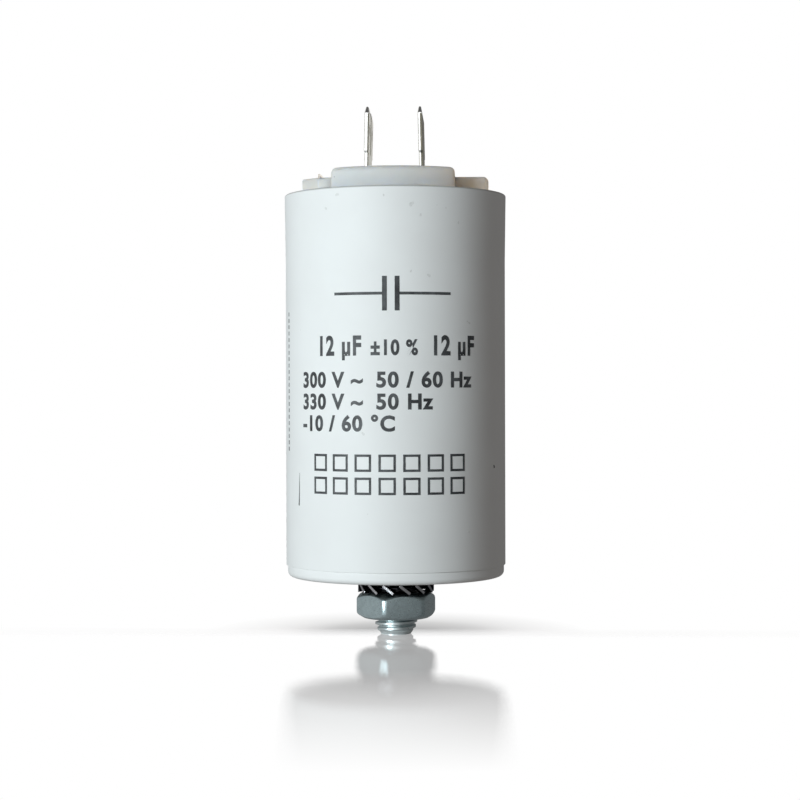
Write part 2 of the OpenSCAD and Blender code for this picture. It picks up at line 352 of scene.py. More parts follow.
def add_mesh(name: str, shell: Shell, sharp: float) -> bpy.types.Object:
    """Makes an object of a surface, with its place in its vertices.

    Args:
        name: The object's name.
        shell: The surface, in millimetres.
        sharp: Angle in degrees from which an edge stays sharp.

    Returns:
        The new object.
    """
    mesh = bpy.data.meshes.new(name)
    mesh.from_pydata(shell.points * MM, [], shell.quads)
    settle(mesh, sharp)
    return link(name, mesh)


class Wiring:
    """Adds nodes to one node tree, with their inputs set or linked as they are made."""

    def __init__(self, tree: bpy.types.NodeTree) -> None:
        """Empties the tree.

        Args:
            tree: The tree to fill.
        """
        self.tree = tree
        tree.nodes.clear()

    def add(self, kind: str, inputs: Inputs | None = None, **settings: object) -> bpy.types.Node:
        """Adds one node.

        Args:
            kind: The node's type.
            inputs: Value or socket for each input, by its name or number.
            **settings: The node's own properties.

        Returns:
            The new node.
        """
        node = self.tree.nodes.new(kind)
        for name, value in settings.items():
            setattr(node, name, value)
        for name, value in (inputs or {}).items():
            if isinstance(value, Socket):
                self.tree.links.new(value, node.inputs[name])
            else:
                node.inputs[name].default_value = value
        return node

    def noise(self, size: float, detail: float = 3.0, stretch: Triple = (1.0, 1.0, 1.0)) -> Socket:
        """Adds cloud noise on the object's own coordinates.

        Args:
            size: Size of the clouds in millimetres.
            detail: Octaves of finer clouds.
            stretch: How often the clouds repeat along x, y and z, against the others.

        Returns:
            The noise, from 0 to 1.
        """
        place = self.add("ShaderNodeTexCoord").outputs["Object"]
        scaled = self.add("ShaderNodeMapping", {"Vector": place, "Scale": stretch}).outputs["Vector"]
        inputs = {"Vector": scaled, "Scale": 1.0 / (size * MM), "Detail": detail}
        return self.add("ShaderNodeTexNoise", inputs).outputs["Fac"]

    def span(self, value: Socket, low: float, high: float,
             start: float = 0.3, end: float = 0.7) -> Socket:
        """Maps a range of a value onto another range, held at its ends.

        Args:
            value: The value to map.
            low: Result at the start.
            high: Result at the end.
            start: Value where the range starts.
            end: Value where the range ends.

        Returns:
            The mapped value.
        """
        inputs = {"Value": value, "From Min": start, "From Max": end, "To Min": low, "To Max": high}
        return self.add("ShaderNodeMapRange", inputs).outputs["Result"]

    def blend(self, factor: Socket, first: object, second: object) -> Socket:
        """Mixes two colours.

        Args:
            factor: Share of the second colour.
            first: Colour or socket.
            second: Colour or socket.

        Returns:
            The mixed colour.
        """
        parts = [part if isinstance(part, Socket) else (*part, 1.0) for part in (first, second)]
        return self.add("ShaderNodeMix", {0: factor, 6: parts[0], 7: parts[1]}, data_type="RGBA").outputs[2]

    def step(self, value: Socket, start: float, width: float,
             low: float = 0.0, high: float = 1.0) -> Socket:
        """Steps from one result to another where a length in metres passes a length in millimetres.

        Args:
            value: The length in metres.
            start: Where the step starts, in millimetres.
            width: Width of the step, in millimetres.
            low: Result below the step.
            high: Result above it.

        Returns:
            The result.
        """
        return self.span(value, low, high, start * MM, (start + width) * MM)

    def bump(self, height: Socket, depth: float) -> Socket:
        """Turns a height into a normal.

        Args:
            height: Height from 0 to 1.
            depth: Depth in millimetres that the height stands for.

        Returns:
            The bent normal.
        """
        return self.add("ShaderNodeBump", {"Height": height, "Distance": depth * MM}).outputs["Normal"]

    def math(self, operation: str, first: object, second: object) -> Socket:
        """Works out one sum.

        Args:
            operation: The node's operation.
            first: Value or socket.
            second: Value or socket.

        Returns:
            The result.
        """
        return self.add("ShaderNodeMath", {0: first, 1: second}, operation=operation).outputs[0]

    def axes(self, kind: str = "ShaderNodeTexCoord", output: str = "Object") -> bpy.types.NodeOutputs:
        """Takes a vector apart, by default a point's place.

        Args:
            kind: Type of the node that gives the vector.
            output: Which of its outputs.

        Returns:
            The X, Y and Z outputs.
        """
        vector = self.add(kind).outputs[output]
        return self.add("ShaderNodeSeparateXYZ", {"Vector": vector}).outputs

    def reach(self) -> Socket:
        """Measures how far a point lies from the z axis, in metres.

        Returns:
            The distance.
        """
        place = self.axes()
        flat = self.add("ShaderNodeCombineXYZ", {"X": place["X"], "Y": place["Y"]}).outputs["Vector"]
        return self.add("ShaderNodeVectorMath", {0: flat}, operation="LENGTH").outputs["Value"]

    def surface(self, inputs: Inputs) -> None:
        """Adds the principled shader and the output.

        Args:
            inputs: Value or socket for each of the shader's inputs.
        """
        shader = self.add("ShaderNodeBsdfPrincipled", inputs)
        self.add("ShaderNodeOutputMaterial", {"Surface": shader.outputs["BSDF"]})


@dataclass(frozen=True)
class Finish:
    """A surface's look.

    Attributes:
        label: The material's name.
        tone: Main colour.
        shade: Colour of the cloudy patches.
        patch: Size of the patches in millimetres.
        smooth: Least roughness.
        rough: Most roughness.
        grain: Size of the surface grain in millimetres.
        relief: Height of the grain in millimetres.
        painted_shade_z: Height in millimetres from which a painted shade darkens it.
        painted_shade: Colour of the painted shade.
        painted_shade_fade: Width in millimetres over which the painted shade sets in.
    """

    label: str
    tone: Rgb
    shade: Rgb
    patch: float
    smooth: float
    rough: float
    grain: float
    relief: float
    painted_shade_z: float = math.inf
    painted_shade: Rgb = (0.55, 0.54, 0.52)
    painted_shade_fade: float = 0.15

    def material(self) -> bpy.types.Material:
        """Makes the material, or finds it if it is there.

        Returns:
            The material.
        """
        name = self.label + "_finish"
        found = bpy.data.materials.get(name)
        if found:
            return found
        made = bpy.data.materials.new(name)
        made.use_nodes = True
        self.wire(Wiring(made.node_tree))
        return made

    def common(self, wiring: Wiring) -> Inputs:
        """Adds the cloudy colour, a painted shade above a height, roughness and grain.

        Args:
            wiring: The material's nodes.

        Returns:
            The shader inputs that they feed.
        """
        clouds = wiring.noise(self.patch)
        grain = wiring.noise(self.grain, detail=2.0)
        colour = wiring.blend(wiring.span(clouds, 0.0, 1.0), self.tone, self.shade)
        # Painted shade: above a height the colour turns to a darker one that stands in for shade.
        if math.isfinite(self.painted_shade_z):
            share = wiring.step(wiring.axes()["Z"], self.painted_shade_z, self.painted_shade_fade)
            colour = wiring.blend(share, colour, self.painted_shade)
        return {
            "Base Color": colour,
            "Roughness": wiring.span(grain, self.smooth, self.rough),
            "Normal": wiring.bump(grain, self.relief),
        }

    def wire(self, wiring: Wiring) -> None:
        """Adds the material's nodes.

        Args:
            wiring: The material's nodes.
        """
        wiring.surface(self.common(wiring))


@dataclass(frozen=True)
class Plastic(Finish):
    """A moulded plastic with scattered specks of dust.

    Attributes:
        speck: Colour of the specks.
        speck_size: Size in millimetres of the noise that gives the specks.
        speck_share: Most share of their colour.
        speck_edge: Range of the noise over which a speck sets in.
        dust: Share of the noise that shows as specks.
        glow: Share of the light that spreads below the surface.
        spread: How far it spreads in millimetres.
        spread_tint: How far red, green and blue spread, as shares of that.
        gloss: Strength of its reflections, where 0.5 is that of plain plastic.
    """

    speck: Rgb = (0.3, 0.28, 0.25)
    speck_size: float = 0.9
    speck_share: float = 0.5
    speck_edge: float = 0.02
    dust: float = 0.0
    glow: float = 0.0
    spread: float = 1.0
    spread_tint: Rgb = (1.0, 0.85, 0.65)
    gloss: float = 0.5

    def wire(self, wiring: Wiring) -> None:
        """Adds the material's nodes.

        Args:
            wiring: The material's nodes.
        """
        inputs = self.common(wiring)
        noise = wiring.noise(self.speck_size, detail=1.0)
        start, end = 1.0 - self.dust, 1.0 + self.speck_edge - self.dust
        specks = wiring.span(noise, 0.0, self.speck_share, start, end)
        inputs["Base Color"] = wiring.blend(specks, inputs["Base Color"], self.speck)
        inputs["Subsurface Weight"] = self.glow
        inputs["Subsurface Radius"] = self.spread_tint
        inputs["Subsurface Scale"] = self.spread * MM
        inputs["Specular IOR Level"] = self.gloss
        wiring.surface(inputs)


@dataclass(frozen=True)
class Metal(Finish):
    """A metal with fine drawn streaks.

    Attributes:
        streak: How often the streaks repeat along x, y and z, against the grain.
        glancing: Colour of its reflections at a glancing angle.
        dull_z: Height in millimetres up to which it is dull, as a cut end is.
        dull_fade: Width in millimetres over which the dullness ends.
        dullness: How metallic the dull part is.
    """

    streak: Triple = (1.0, 1.0, 1.0)
    glancing: Rgb = (1.0, 1.0, 1.0)
    dull_z: float = -math.inf
    dull_fade: float = 0.2
    dullness: float = 0.5

    def wire(self, wiring: Wiring) -> None:
        """Adds the material's nodes.

        Args:
            wiring: The material's nodes.
        """
        inputs = self.common(wiring)
        streaks = wiring.noise(self.grain, detail=4.0, stretch=self.streak)
        inputs["Base Color"] = self.tint(wiring, inputs["Base Color"])
        inputs["Roughness"] = wiring.span(streaks, self.smooth, self.rough)
        inputs["Metallic"] = 1.0
        if math.isfinite(self.dull_z):
            height = wiring.axes()["Z"]
            inputs["Metallic"] = wiring.step(height, self.dull_z, self.dull_fade, low=self.dullness)
        inputs["Specular Tint"] = (*self.glancing, 1.0)
        wiring.surface(inputs)

    def tint(self, wiring: Wiring, tone: Socket) -> Socket:
        """Leaves the cloudy colour as it is.

        Args:
            wiring: The material's nodes.
            tone: The cloudy colour.

        Returns:
            The colour.
        """
        return tone


@dataclass(frozen=True)
class SheetMetal(Metal):
    """A tinned sheet whose edges are painted light towards -x and painted dark towards +x, as painted
    highlight and painted shade.

    Attributes:
        edge: Colour of the edges' part towards -x, painted light.
        torn: Colour of the edges' part towards +x, a painted shade where the light falls off.
        edge_shade_from: Where the painted shade starts, in millimetres from the sheet's middle towards +x.
        edge_shade_fade: Width in millimetres over which the painted shade sets in.
        edge_shade_top: Height in millimetres from which the edges get no painted shade.
        top_fade: Width in millimetres over which it ends there.
        top_fade: Width in millimetres over which it ends there.
        leans: How far the sheet's middle lies from the plane between the terminals, low and high.
        lean_z: The heights in millimetres where it lies so.
        face: How far along x a point faces where the edges end and where the sheet's face starts.
    """

    edge: Rgb = (0.96, 0.96, 0.955)
    torn: Rgb = (0.14, 0.135, 0.105)
    edge_shade_from: float = 0.12
    edge_shade_fade: float = 0.06
    edge_shade_top: float = 83.4
    top_fade: float = 0.2
    leans: Pair = (4.972, 4.725)
    lean_z: Pair = (73.5, 84.85)
    face: Pair = (0.5, 0.8)

    def tint(self, wiring: Wiring, tone: Socket) -> Socket:
        """Colours what doesn't face along x, as the sheet's faces do.

        The sheet's middle is at the same distance from the plane between the terminals on both
        sides, and comes nearer to it with the height as the terminals lean.

        Args:
            wiring: The material's nodes.
            tone: The cloudy colour.

        Returns:
            The colour with its edges.
        """
        across = wiring.math("ABSOLUTE", wiring.axes("ShaderNodeNewGeometry", "Normal")["X"], 0.0)
        place = wiring.axes()
        low, high, start, end = np.multiply([*self.leans, *self.lean_z], MM)
        middle = wiring.span(place["Z"], low, high, start, end)
        signed = wiring.math("MULTIPLY", wiring.math("SIGN", place["X"], 0.0), middle)
        off = wiring.math("SUBTRACT", place["X"], signed)
        # Painted shade on the edges' part towards +x below the tip; painted light on the rest of the edges.
        below = wiring.step(place["Z"], self.edge_shade_top, self.top_fade, low=1.0, high=0.0)
        beyond = wiring.step(off, self.edge_shade_from, self.edge_shade_fade)
        edges = wiring.blend(wiring.math("MULTIPLY", beyond, below), self.edge, self.torn)
        return wiring.blend(wiring.span(across, 1.0, 0.0, *self.face), tone, edges)


@dataclass(frozen=True)
class ToothedSteel(Metal):
    """A steel painted nearly black as the shade under the case, lighter at the teeth's ends.

    Attributes:
        end_tone: Colour of the teeth's ends, which stay out of the painted shade.
        shaded_r: Radius in millimetres up to which it keeps the painted shade.
        end_r: Radius in millimetres from which it has the ends' colour.
    """

    end_tone: Rgb = (0.46, 0.46, 0.48)
    shaded_r: float = 6.75
    end_r: float = 6.95

    def tint(self, wiring: Wiring, tone: Socket) -> Socket:
        """Lightens the teeth's ends out of the painted shade, by the distance from the axis.

        Args:
            wiring: The material's nodes.
            tone: The cloudy colour.

        Returns:
            The colour with its bright ends.
        """
        # Painted shade: inside the teeth's ends the steel keeps its near-black tone.
        share = wiring.step(wiring.reach(), self.shaded_r, self.end_r - self.shaded_r)
        return wiring.blend(share, tone, self.end_tone)


# Painted shade: the case's rounded rim edge, above 68.95 mm, is coloured darker for the shade on its
# upward-facing rounding.
CASE_WHITE = Plastic("case_white", (0.87, 0.875, 0.87), (0.845, 0.845, 0.84), 9.0, 0.55, 0.66, 0.35, 0.004,
                     speck=(0.55, 0.54, 0.52), dust=0.2, gloss=0.3, painted_shade_z=68.95)
LID_WHITE = Plastic("lid_white", (0.85, 0.80, 0.735), (0.80, 0.745, 0.675), 5.0, 0.45, 0.6, 0.5, 0.008,
                    speck=(0.35, 0.30, 0.24), dust=0.24, glow=1.0, spread=10.0, gloss=0.35)
# Tinned sheet whose edges carry painted light and painted shade.
TINNED = SheetMetal("tinned_brass", (0.80, 0.78, 0.67), (0.64, 0.62, 0.51), 1.4, 0.24, 0.42, 0.25, 0.004,
                    streak=(1.0, 1.0, 0.12))
# The right terminal's painted edge shade starts further towards -x and covers more of its edges.
TINNED_RIGHT = replace(TINNED, label="tinned_brass_right", edge_shade_from=-0.06)
ZINC = Metal("zinc_plate", (0.45, 0.55, 0.57), (0.375, 0.46, 0.48), 0.8, 0.24, 0.40, 0.22, 0.006)
# Painted shade: the stud is coloured nearly black above -3.4 mm, where it lies in the shade between washer
# and case.
THREAD_ZINC = Metal("thread_zinc", (0.58, 0.645, 0.655), (0.49, 0.555, 0.565), 0.8, 0.26, 0.38, 0.22, 0.004,
                    painted_shade_z=-3.4, painted_shade=(0.02, 0.02, 0.022), dull_z=-9.85)
# Painted shade: the washer's tone and glancing reflections are nearly black for the shade under the case;
# only the teeth's ends are lighter.
SPRING = ToothedSteel("spring_steel", (0.03, 0.03, 0.034), (0.015, 0.015, 0.018), 0.7, 0.20, 0.28, 0.2,
                      0.001, glancing=(0.12, 0.12, 0.15))
INK = Plastic("print_ink", (0.018, 0.019, 0.021), (0.085, 0.09, 0.095), 2.2, 0.5, 0.7, 0.3, 0.002)
STAIN = Plastic("wall_stain", (0.69, 0.69, 0.68), (0.80, 0.80, 0.79), 0.6, 0.55, 0.7, 0.3, 0.002)

HIDDEN_FINISHES: dict[str, Finish] = {
    "film": Metal("metallised_film", (0.70, 0.71, 0.73), (0.60, 0.61, 0.63), 3.0, 0.15, 0.25, 0.4, 0.002,
                  streak=(0.3, 0.3, 8.0)),
    "core_plastic": Plastic("core_plastic", (0.86, 0.86, 0.84), (0.82, 0.82, 0.80), 6.0, 0.4, 0.5,
                            0.5, 0.004),
    "wrap_film": Plastic("wrap_film", (0.80, 0.74, 0.52), (0.74, 0.68, 0.46), 8.0, 0.15, 0.25, 0.6, 0.002),
    "sprayed_zinc": Metal("sprayed_zinc", (0.45, 0.46, 0.48), (0.34, 0.35, 0.37), 1.0, 0.55, 0.8,
                          0.3, 0.03),
    "copper": Metal("tinned_copper", (0.78, 0.52, 0.38), (0.68, 0.44, 0.30), 2.0, 0.2, 0.35, 0.3, 0.002),
    "sleeve_plastic": Plastic("sleeve_plastic", (0.78, 0.66, 0.12), (0.72, 0.60, 0.10), 4.0, 0.2, 0.3,
                              0.4, 0.002),
    "solder": Metal("solder", (0.68, 0.68, 0.68), (0.55, 0.55, 0.56), 0.8, 0.25, 0.4, 0.3, 0.01),
    "disc_board": Plastic("disc_board", (0.62, 0.48, 0.30), (0.54, 0.41, 0.25), 1.5, 0.6, 0.8, 0.3, 0.01),
    "resin": Plastic("cast_resin", (0.50, 0.36, 0.20), (0.44, 0.31, 0.16), 6.0, 0.15, 0.3, 1.5, 0.02),
}


@dataclass(kw_only=True)
class Piece:
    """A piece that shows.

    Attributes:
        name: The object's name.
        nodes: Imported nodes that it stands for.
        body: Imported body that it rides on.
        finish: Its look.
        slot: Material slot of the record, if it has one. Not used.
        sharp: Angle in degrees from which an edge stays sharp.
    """

    name: str
    nodes: tuple[str, ...]
    finish: Finish
    body: Body = Body.CAN
    slot: str = ""
    sharp: float = 32.0

    def shells(self) -> list[Shell]:
        """Works out the surfaces.

        Returns:
            The closed surfaces of the piece, in millimetres.
        """
        raise NotImplementedError

    def build(self) -> bpy.types.Object:
        """Makes the object.

        Returns:
            The new object.
        """
        return add_mesh(self.name, Shell.joined(self.shells()), self.sharp)

    def dress(self, made: bpy.types.Object) -> None:
        """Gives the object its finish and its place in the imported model.

        Args:
            made: The object that build made.
        """
        made.data.materials.append(self.finish.material())
        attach(made, self.body.value)
        if self.nodes:
            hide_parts(*self.nodes)


@dataclass(kw_only=True)
class CaseShell(Piece):
    """The cup: a stepped foot, a straight wall that flares at the mouth, and a ribbed floor.

    Lengths are in millimetres from the base plane and the axis.
    """

    wall_r: float = 20.0
    rim_r: float = 20.17
    height: float = 69.3
    flare_h: float = 12.0
    rim_edge: float = 0.35
    mouth_edge: float = 0.2
    soft: float = 0.08
    foot_r: float = 19.72
    foot_h: float = 2.15
    foot_edge: float = 1.0
    relief_r: float = 8.2
    relief_h: float = 0.5
    hole_r: float = 4.05
    bore_r: float = 18.2
    mouth_r: float = 18.7
    ledge_z: float = 66.3
    floor_z: float = 2.6
    boss_r: float = 9.42
    boss_z: float = 6.7
    pocket_r: float = 7.62
    rib_t: float = 1.6
    rib_count: int = 6
    lap: float = 0.3
    columns: int = 288
    boss_columns: int = 144

    def section(self) -> np.ndarray:
        """Draws the cup's half section, once round from the stud's hole.

        Returns:
            Radius and height of each point, shaped (rows, 2).
        """
        soft, inner = self.soft, self.mouth_edge
        rise = np.linspace(0.0, 1.0, 9)
        flare_z = self.height - self.flare_h
        top = self.height - self.rim_edge
        flare = np.column_stack([
            self.wall_r + (self.rim_r - self.wall_r) * rise,
            flare_z + (top - flare_z) * rise,
        ])
        parts = [
            [(self.hole_r, self.relief_h), (self.relief_r, self.relief_h)],
            arc((self.relief_r + soft, soft), soft, 180.0, 270.0, 4),
            arc((self.foot_r - self.foot_edge, self.foot_edge), self.foot_edge, 270.0, 360.0, 12),
            [(self.foot_r, self.foot_h)],
            arc((self.wall_r - soft, self.foot_h + soft), soft, 270.0, 360.0, 4),
            flare,
            arc((self.rim_r - self.rim_edge, top), self.rim_edge, 0.0, 90.0, 8),
            arc((self.mouth_r + inner, self.height - inner), inner, 90.0, 180.0, 5),
            [(self.mouth_r, self.ledge_z), (self.bore_r, self.ledge_z)],
            [(self.bore_r, self.floor_z), (self.hole_r, self.floor_z)],
        ]
        return np.vstack(parts)

    def shells(self) -> list[Shell]:
        """Works out the cup, the boss with its six-sided pocket, and the ribs.

        The pocket's radius at an angle is its apothem over the cosine of the angle from the
        nearest flat's middle.

        Returns:
            The closed surfaces.
        """
        angles = np.linspace(0.0, TURN, self.boss_columns, endpoint=False)
        sixth = TURN / 6.0
        apothem = self.pocket_r * math.cos(sixth / 2.0)
        hexagon = apothem / np.cos(angles % sixth - sixth / 2.0)
        low = self.floor_z - self.lap
        boss = np.stack([
            ring(self.boss_r, low, angles),
            ring(self.boss_r, self.boss_z, angles),
            ring(hexagon, self.boss_z, angles),
            ring(hexagon, low, angles),
        ])
        made = [revolve(self.section(), self.columns), Shell.from_grid(boss, closed=True)]
        half = self.rib_t / 2.0
        near, far = self.boss_r - self.lap, self.bore_r + self.lap
        plan = np.array([[near, -half], [far, -half], [far, half], [near, half]])
        for turn in np.arange(self.rib_count) * TURN / self.rib_count:
            spin = np.array([[math.cos(turn), math.sin(turn)], [-math.sin(turn), math.cos(turn)]])
            foot = np.column_stack([plan @ spin, np.full(4, low)])
            top = foot + np.array([0.0, 0.0, self.boss_z - low])
            made.append(Shell.capped([foot, top]))
        return made


@dataclass(kw_only=True)
class LidMoulding(Piece):
    """The lid: a sunk plate, a hollow terminal block with two flats, two lugs and a gate's stub."""

    plate_r: float = 18.6
    plate_low: float = 66.3
    plate_top: float = 68.8
    plate_edge: float = 0.2
    block_deep: float = 13.8
    curve_r: float = 19.0
    block_half: float = 11.0
    block_top: float = 73.5
    block_edge: float = 1.0
    block_corner: float = 1.0
    block_foot: float = 0.25
    foot_bend: float = 0.28
    hollow_corner: float = 0.3
    point_gap: float = 0.7
    wall: float = 1.8
    roof_z: float = 71.7
    lug_x: float = 9.2
    lug_r: float = 17.1
    lug_half: float = 2.8
    lug_lead: float = 3.2
    lug_top: float = 72.55
    lug_sink: float = 0.4
    lug_edges: Pair = (0.4, 0.9)
    gate_x: float = -13.6
    gate_y: float = -1.6
    gate_swing: float = 0.18
    gate_steps: tuple[Triple, ...] = (
        (0.46, -0.3, 0.06), (0.4, 0.1, 0.03), (0.34, 0.42, -0.06), (0.2, 0.7, -0.2),
    )

    def block_plan(self, inset: float, corner: float) -> Outline:
        """Draws two flats with a curve at the front and the back.

        Args:
            inset: Distance inwards from the block's own plan.
            corner: Radius of the corners.

        Returns:
            The plan.
        """
        radius = self.curve_r - inset
        off = self.curve_r - self.block_deep
        edge = math.degrees(math.acos((self.block_half - inset) / radius))
        back = arc((0.0, -off), radius, edge, 180.0 - edge, 40)
        front = arc((0.0, off), radius, 180.0 + edge, 360.0 - edge, 40)
        return Outline.rounded(np.vstack([back, front]), corner, 5)

    def body_shell(self) -> Shell:
        """Works out plate and block as one surface.

        The loops run from the middle of the roof over the block's rounded edge, down its side, out
        over the plate and back under it into the hollow.

        Returns:
            The closed surface.
        """
        plan = self.block_plan(0.0, self.block_corner)
        marks = plan.marks(self.point_gap)
        plan = plan.dense(marks)
        hollow = self.block_plan(self.wall, self.hollow_corner).dense(marks)
        outer = plan.flat(0.0)
        angles = np.arctan2(outer[:, 1], outer[:, 0])
        foot = self.block_foot
        bulge = self.foot_bend * foot
        loops = [
            *plan.over(self.block_edge, self.block_top),
            plan.at(0.0, self.plate_top + foot),
            plan.at(-bulge, self.plate_top + bulge),
            plan.at(-foot, self.plate_top),
            ring(self.plate_r - self.plate_edge, self.plate_top, angles),
            ring(self.plate_r, self.plate_top - self.plate_edge, angles),
            ring(self.plate_r, self.plate_low, angles),
            hollow.at(0.0, self.plate_low),
            hollow.at(0.0, self.roof_z),
        ]
        return Shell.capped(loops)

    def lug(self, side: Side, edge: float) -> Shell:
        """Works out one lug with its upper edge rounded.

        Args:
            side: Which lug. The left one is the right one turned by half a turn.
            edge: Radius of the upper edge.

        Returns:
            The closed surface.
        """
        slant = self.lug_r + self.lug_half - self.lug_lead
        meet = (slant - math.sqrt(2.0 * self.lug_r ** 2 - slant ** 2)) / 2.0
        first = -math.degrees(math.asin(self.lug_half / self.lug_r))
        last = math.degrees(math.asin(meet / self.lug_r))
        corners = np.vstack([
            [(self.lug_x, -self.lug_half)],
            arc((0.0, 0.0), self.lug_r, first, last, 2),
            [(slant - self.lug_half, self.lug_half), (self.lug_x, self.lug_half)],
        ])
        plan = Outline.rounded(corners * side.value, edge, 5)
        foot = plan.at(0.0, self.plate_top - self.lug_sink)
        return Shell.capped([foot, *plan.over(edge, self.lug_top)[::-1]])

    def gate(self) -> Shell:
        """Works out the torn stub of the moulding gate, which leans outwards.

        Each step has a mean radius, a height over the lug and a lean. The radius swings by a share
        of itself three times round.

        Returns:
            The closed surface.
        """
        angles = np.linspace(0.0, TURN, 20, endpoint=False)
        torn = 1.0 + self.gate_swing * np.sin(3.0 * angles)
        place = np.array([self.gate_x, self.gate_y, self.lug_top])
        return Shell.capped([
            ring(radius * torn, rise, angles) + np.array([lean, 0.0, 0.0]) + place
            for radius, rise, lean in self.gate_steps
        ])

    def shells(self) -> list[Shell]:
        """Works out the lid.

        Returns:
            The closed surfaces.
        """
        left, right = self.lug_edges
        return [self.body_shell(), self.lug(Side.RIGHT, right), self.lug(Side.LEFT, left), self.gate()]


@dataclass(kw_only=True)
class Terminal(Piece):
    """Two push-on tabs on one neck, cut from sheet, leaning a little towards the middle."""

    side: Side
    middle: float = 4.85
    half_t: float = 0.4
    neck_half: float = 6.0
    foot_half: float = 2.5
    foot_z: float = 67.7
    roof_z: float = 71.7
    block_top: float = 73.5
    shoulder_z: float = 76.7
    tip_z: float = 84.85
    gap_half: float = 1.0
    reach: float = 7.3
    corner: float = 1.2
    bevel: float = 1.2
    tip_half: float = 0.2
    hole_r: float = 0.9
    hole_drop: float = 4.0
    burr: float = 0.12
    tab_edge: float = 0.14
    tab_gap: float = 0.18
    plate_edge: float = 0.15
    plate_gap: float = 0.4
    neck_lap: float = 0.3
    foot_lap: float = 0.1
    neck_thin: float = 0.03
    foot_thin: float = 0.05
    lean: float = 1.25
    lean_z: float = 79.1

    def placed(self, flat: np.ndarray, depth: np.ndarray) -> np.ndarray:
        """Puts points of the sheet in their place, leaning inwards above the block.

        Args:
            flat: Points across and up, shaped (..., 2).
            depth: Distance from the sheet's middle, shaped (...).

        Returns:
            The positions, shaped (..., 3).
        """
        height = flat[..., 1]
        drift = math.tan(math.radians(self.lean)) * (np.maximum(height, self.block_top) - self.lean_z)
        return np.stack([self.side.value * (self.middle - drift) + depth, flat[..., 0], height], axis=-1)

    def tab(self, facing: float) -> Shell:
        """Works out one tab with its latch hole.

        The rows run from the hole's edge over one face to the outline, and back over the other
        face. Every point of a row lies on the line from the hole's middle through the outline.

        Args:
            facing: Sign of the tab's y.

        Returns:
            The closed surface.
        """
        near, far = self.gap_half, self.reach
        low, slant = self.shoulder_z - self.neck_thin, self.tip_z - self.corner
        corners = np.array([
            (near, low), (far, low), (far, slant),
            (far - self.corner, self.tip_z), (near + self.corner, self.tip_z), (near, slant),
        ])
        plan = Outline.rounded(corners, self.tab_edge, 5)
        plan = plan.dense(plan.marks(self.tab_gap))
        centre = np.array([(near + far) / 2.0, self.tip_z - self.hole_drop])
        lip = plan.flat(self.burr)
        spokes = (lip - centre) / np.linalg.norm(lip - centre, axis=1, keepdims=True)
        start = centre + spokes * (self.hole_r + self.burr)
        share = np.linspace(0.0, 1.0, 10)[:, None, None]
        rim = centre + spokes * self.hole_r
        face = np.concatenate([rim[None], start + (lip - start) * share, plan.flat(0.0)[None]])
        thick = np.interp(face[..., 1], [self.tip_z - self.bevel, self.tip_z], [self.half_t, self.tip_half])
        thick[[0, -1]] -= self.burr
        flat = np.concatenate([face, face[::-1]]) * np.array([facing, 1.0])
        depth = np.concatenate([thick, -thick[::-1]])
        return Shell.from_grid(self.placed(flat, depth), closed=True)

    def plate(self, half: float, low: float, high: float, thin: float) -> Shell:
        """Works out a plain stretch of the sheet.

        Args:
            half: Half of its width.
            low: Its lower end.
            high: Its upper end.
            thin: What it lacks of the sheet's half thickness.

        Returns:
            The closed surface.
        """
        corners = np.array([(-half, low), (half, low), (half, high), (-half, high)])
        plan = Outline.rounded(corners, self.plate_edge, 4)
        plan = plan.dense(plan.marks(self.plate_gap))
        deep = self.half_t - thin
        rows = [(self.burr, deep), (0.0, deep - self.burr), (0.0, self.burr - deep), (self.burr, -deep)]
        loops = [self.placed(plan.flat(inset), np.full(len(plan.cores), depth)) for inset, depth in rows]
        return Shell.capped(loops)

    def shells(self) -> list[Shell]:
        """Works out the two tabs, the neck and the foot.

        Returns:
            The closed surfaces.
        """
        return [
            self.tab(-1.0),
            self.tab(1.0),
            self.plate(self.neck_half, self.roof_z, self.shoulder_z + self.neck_lap, self.neck_thin),
            self.plate(self.foot_half, self.foot_z, self.roof_z + self.foot_lap, self.foot_thin),
        ]


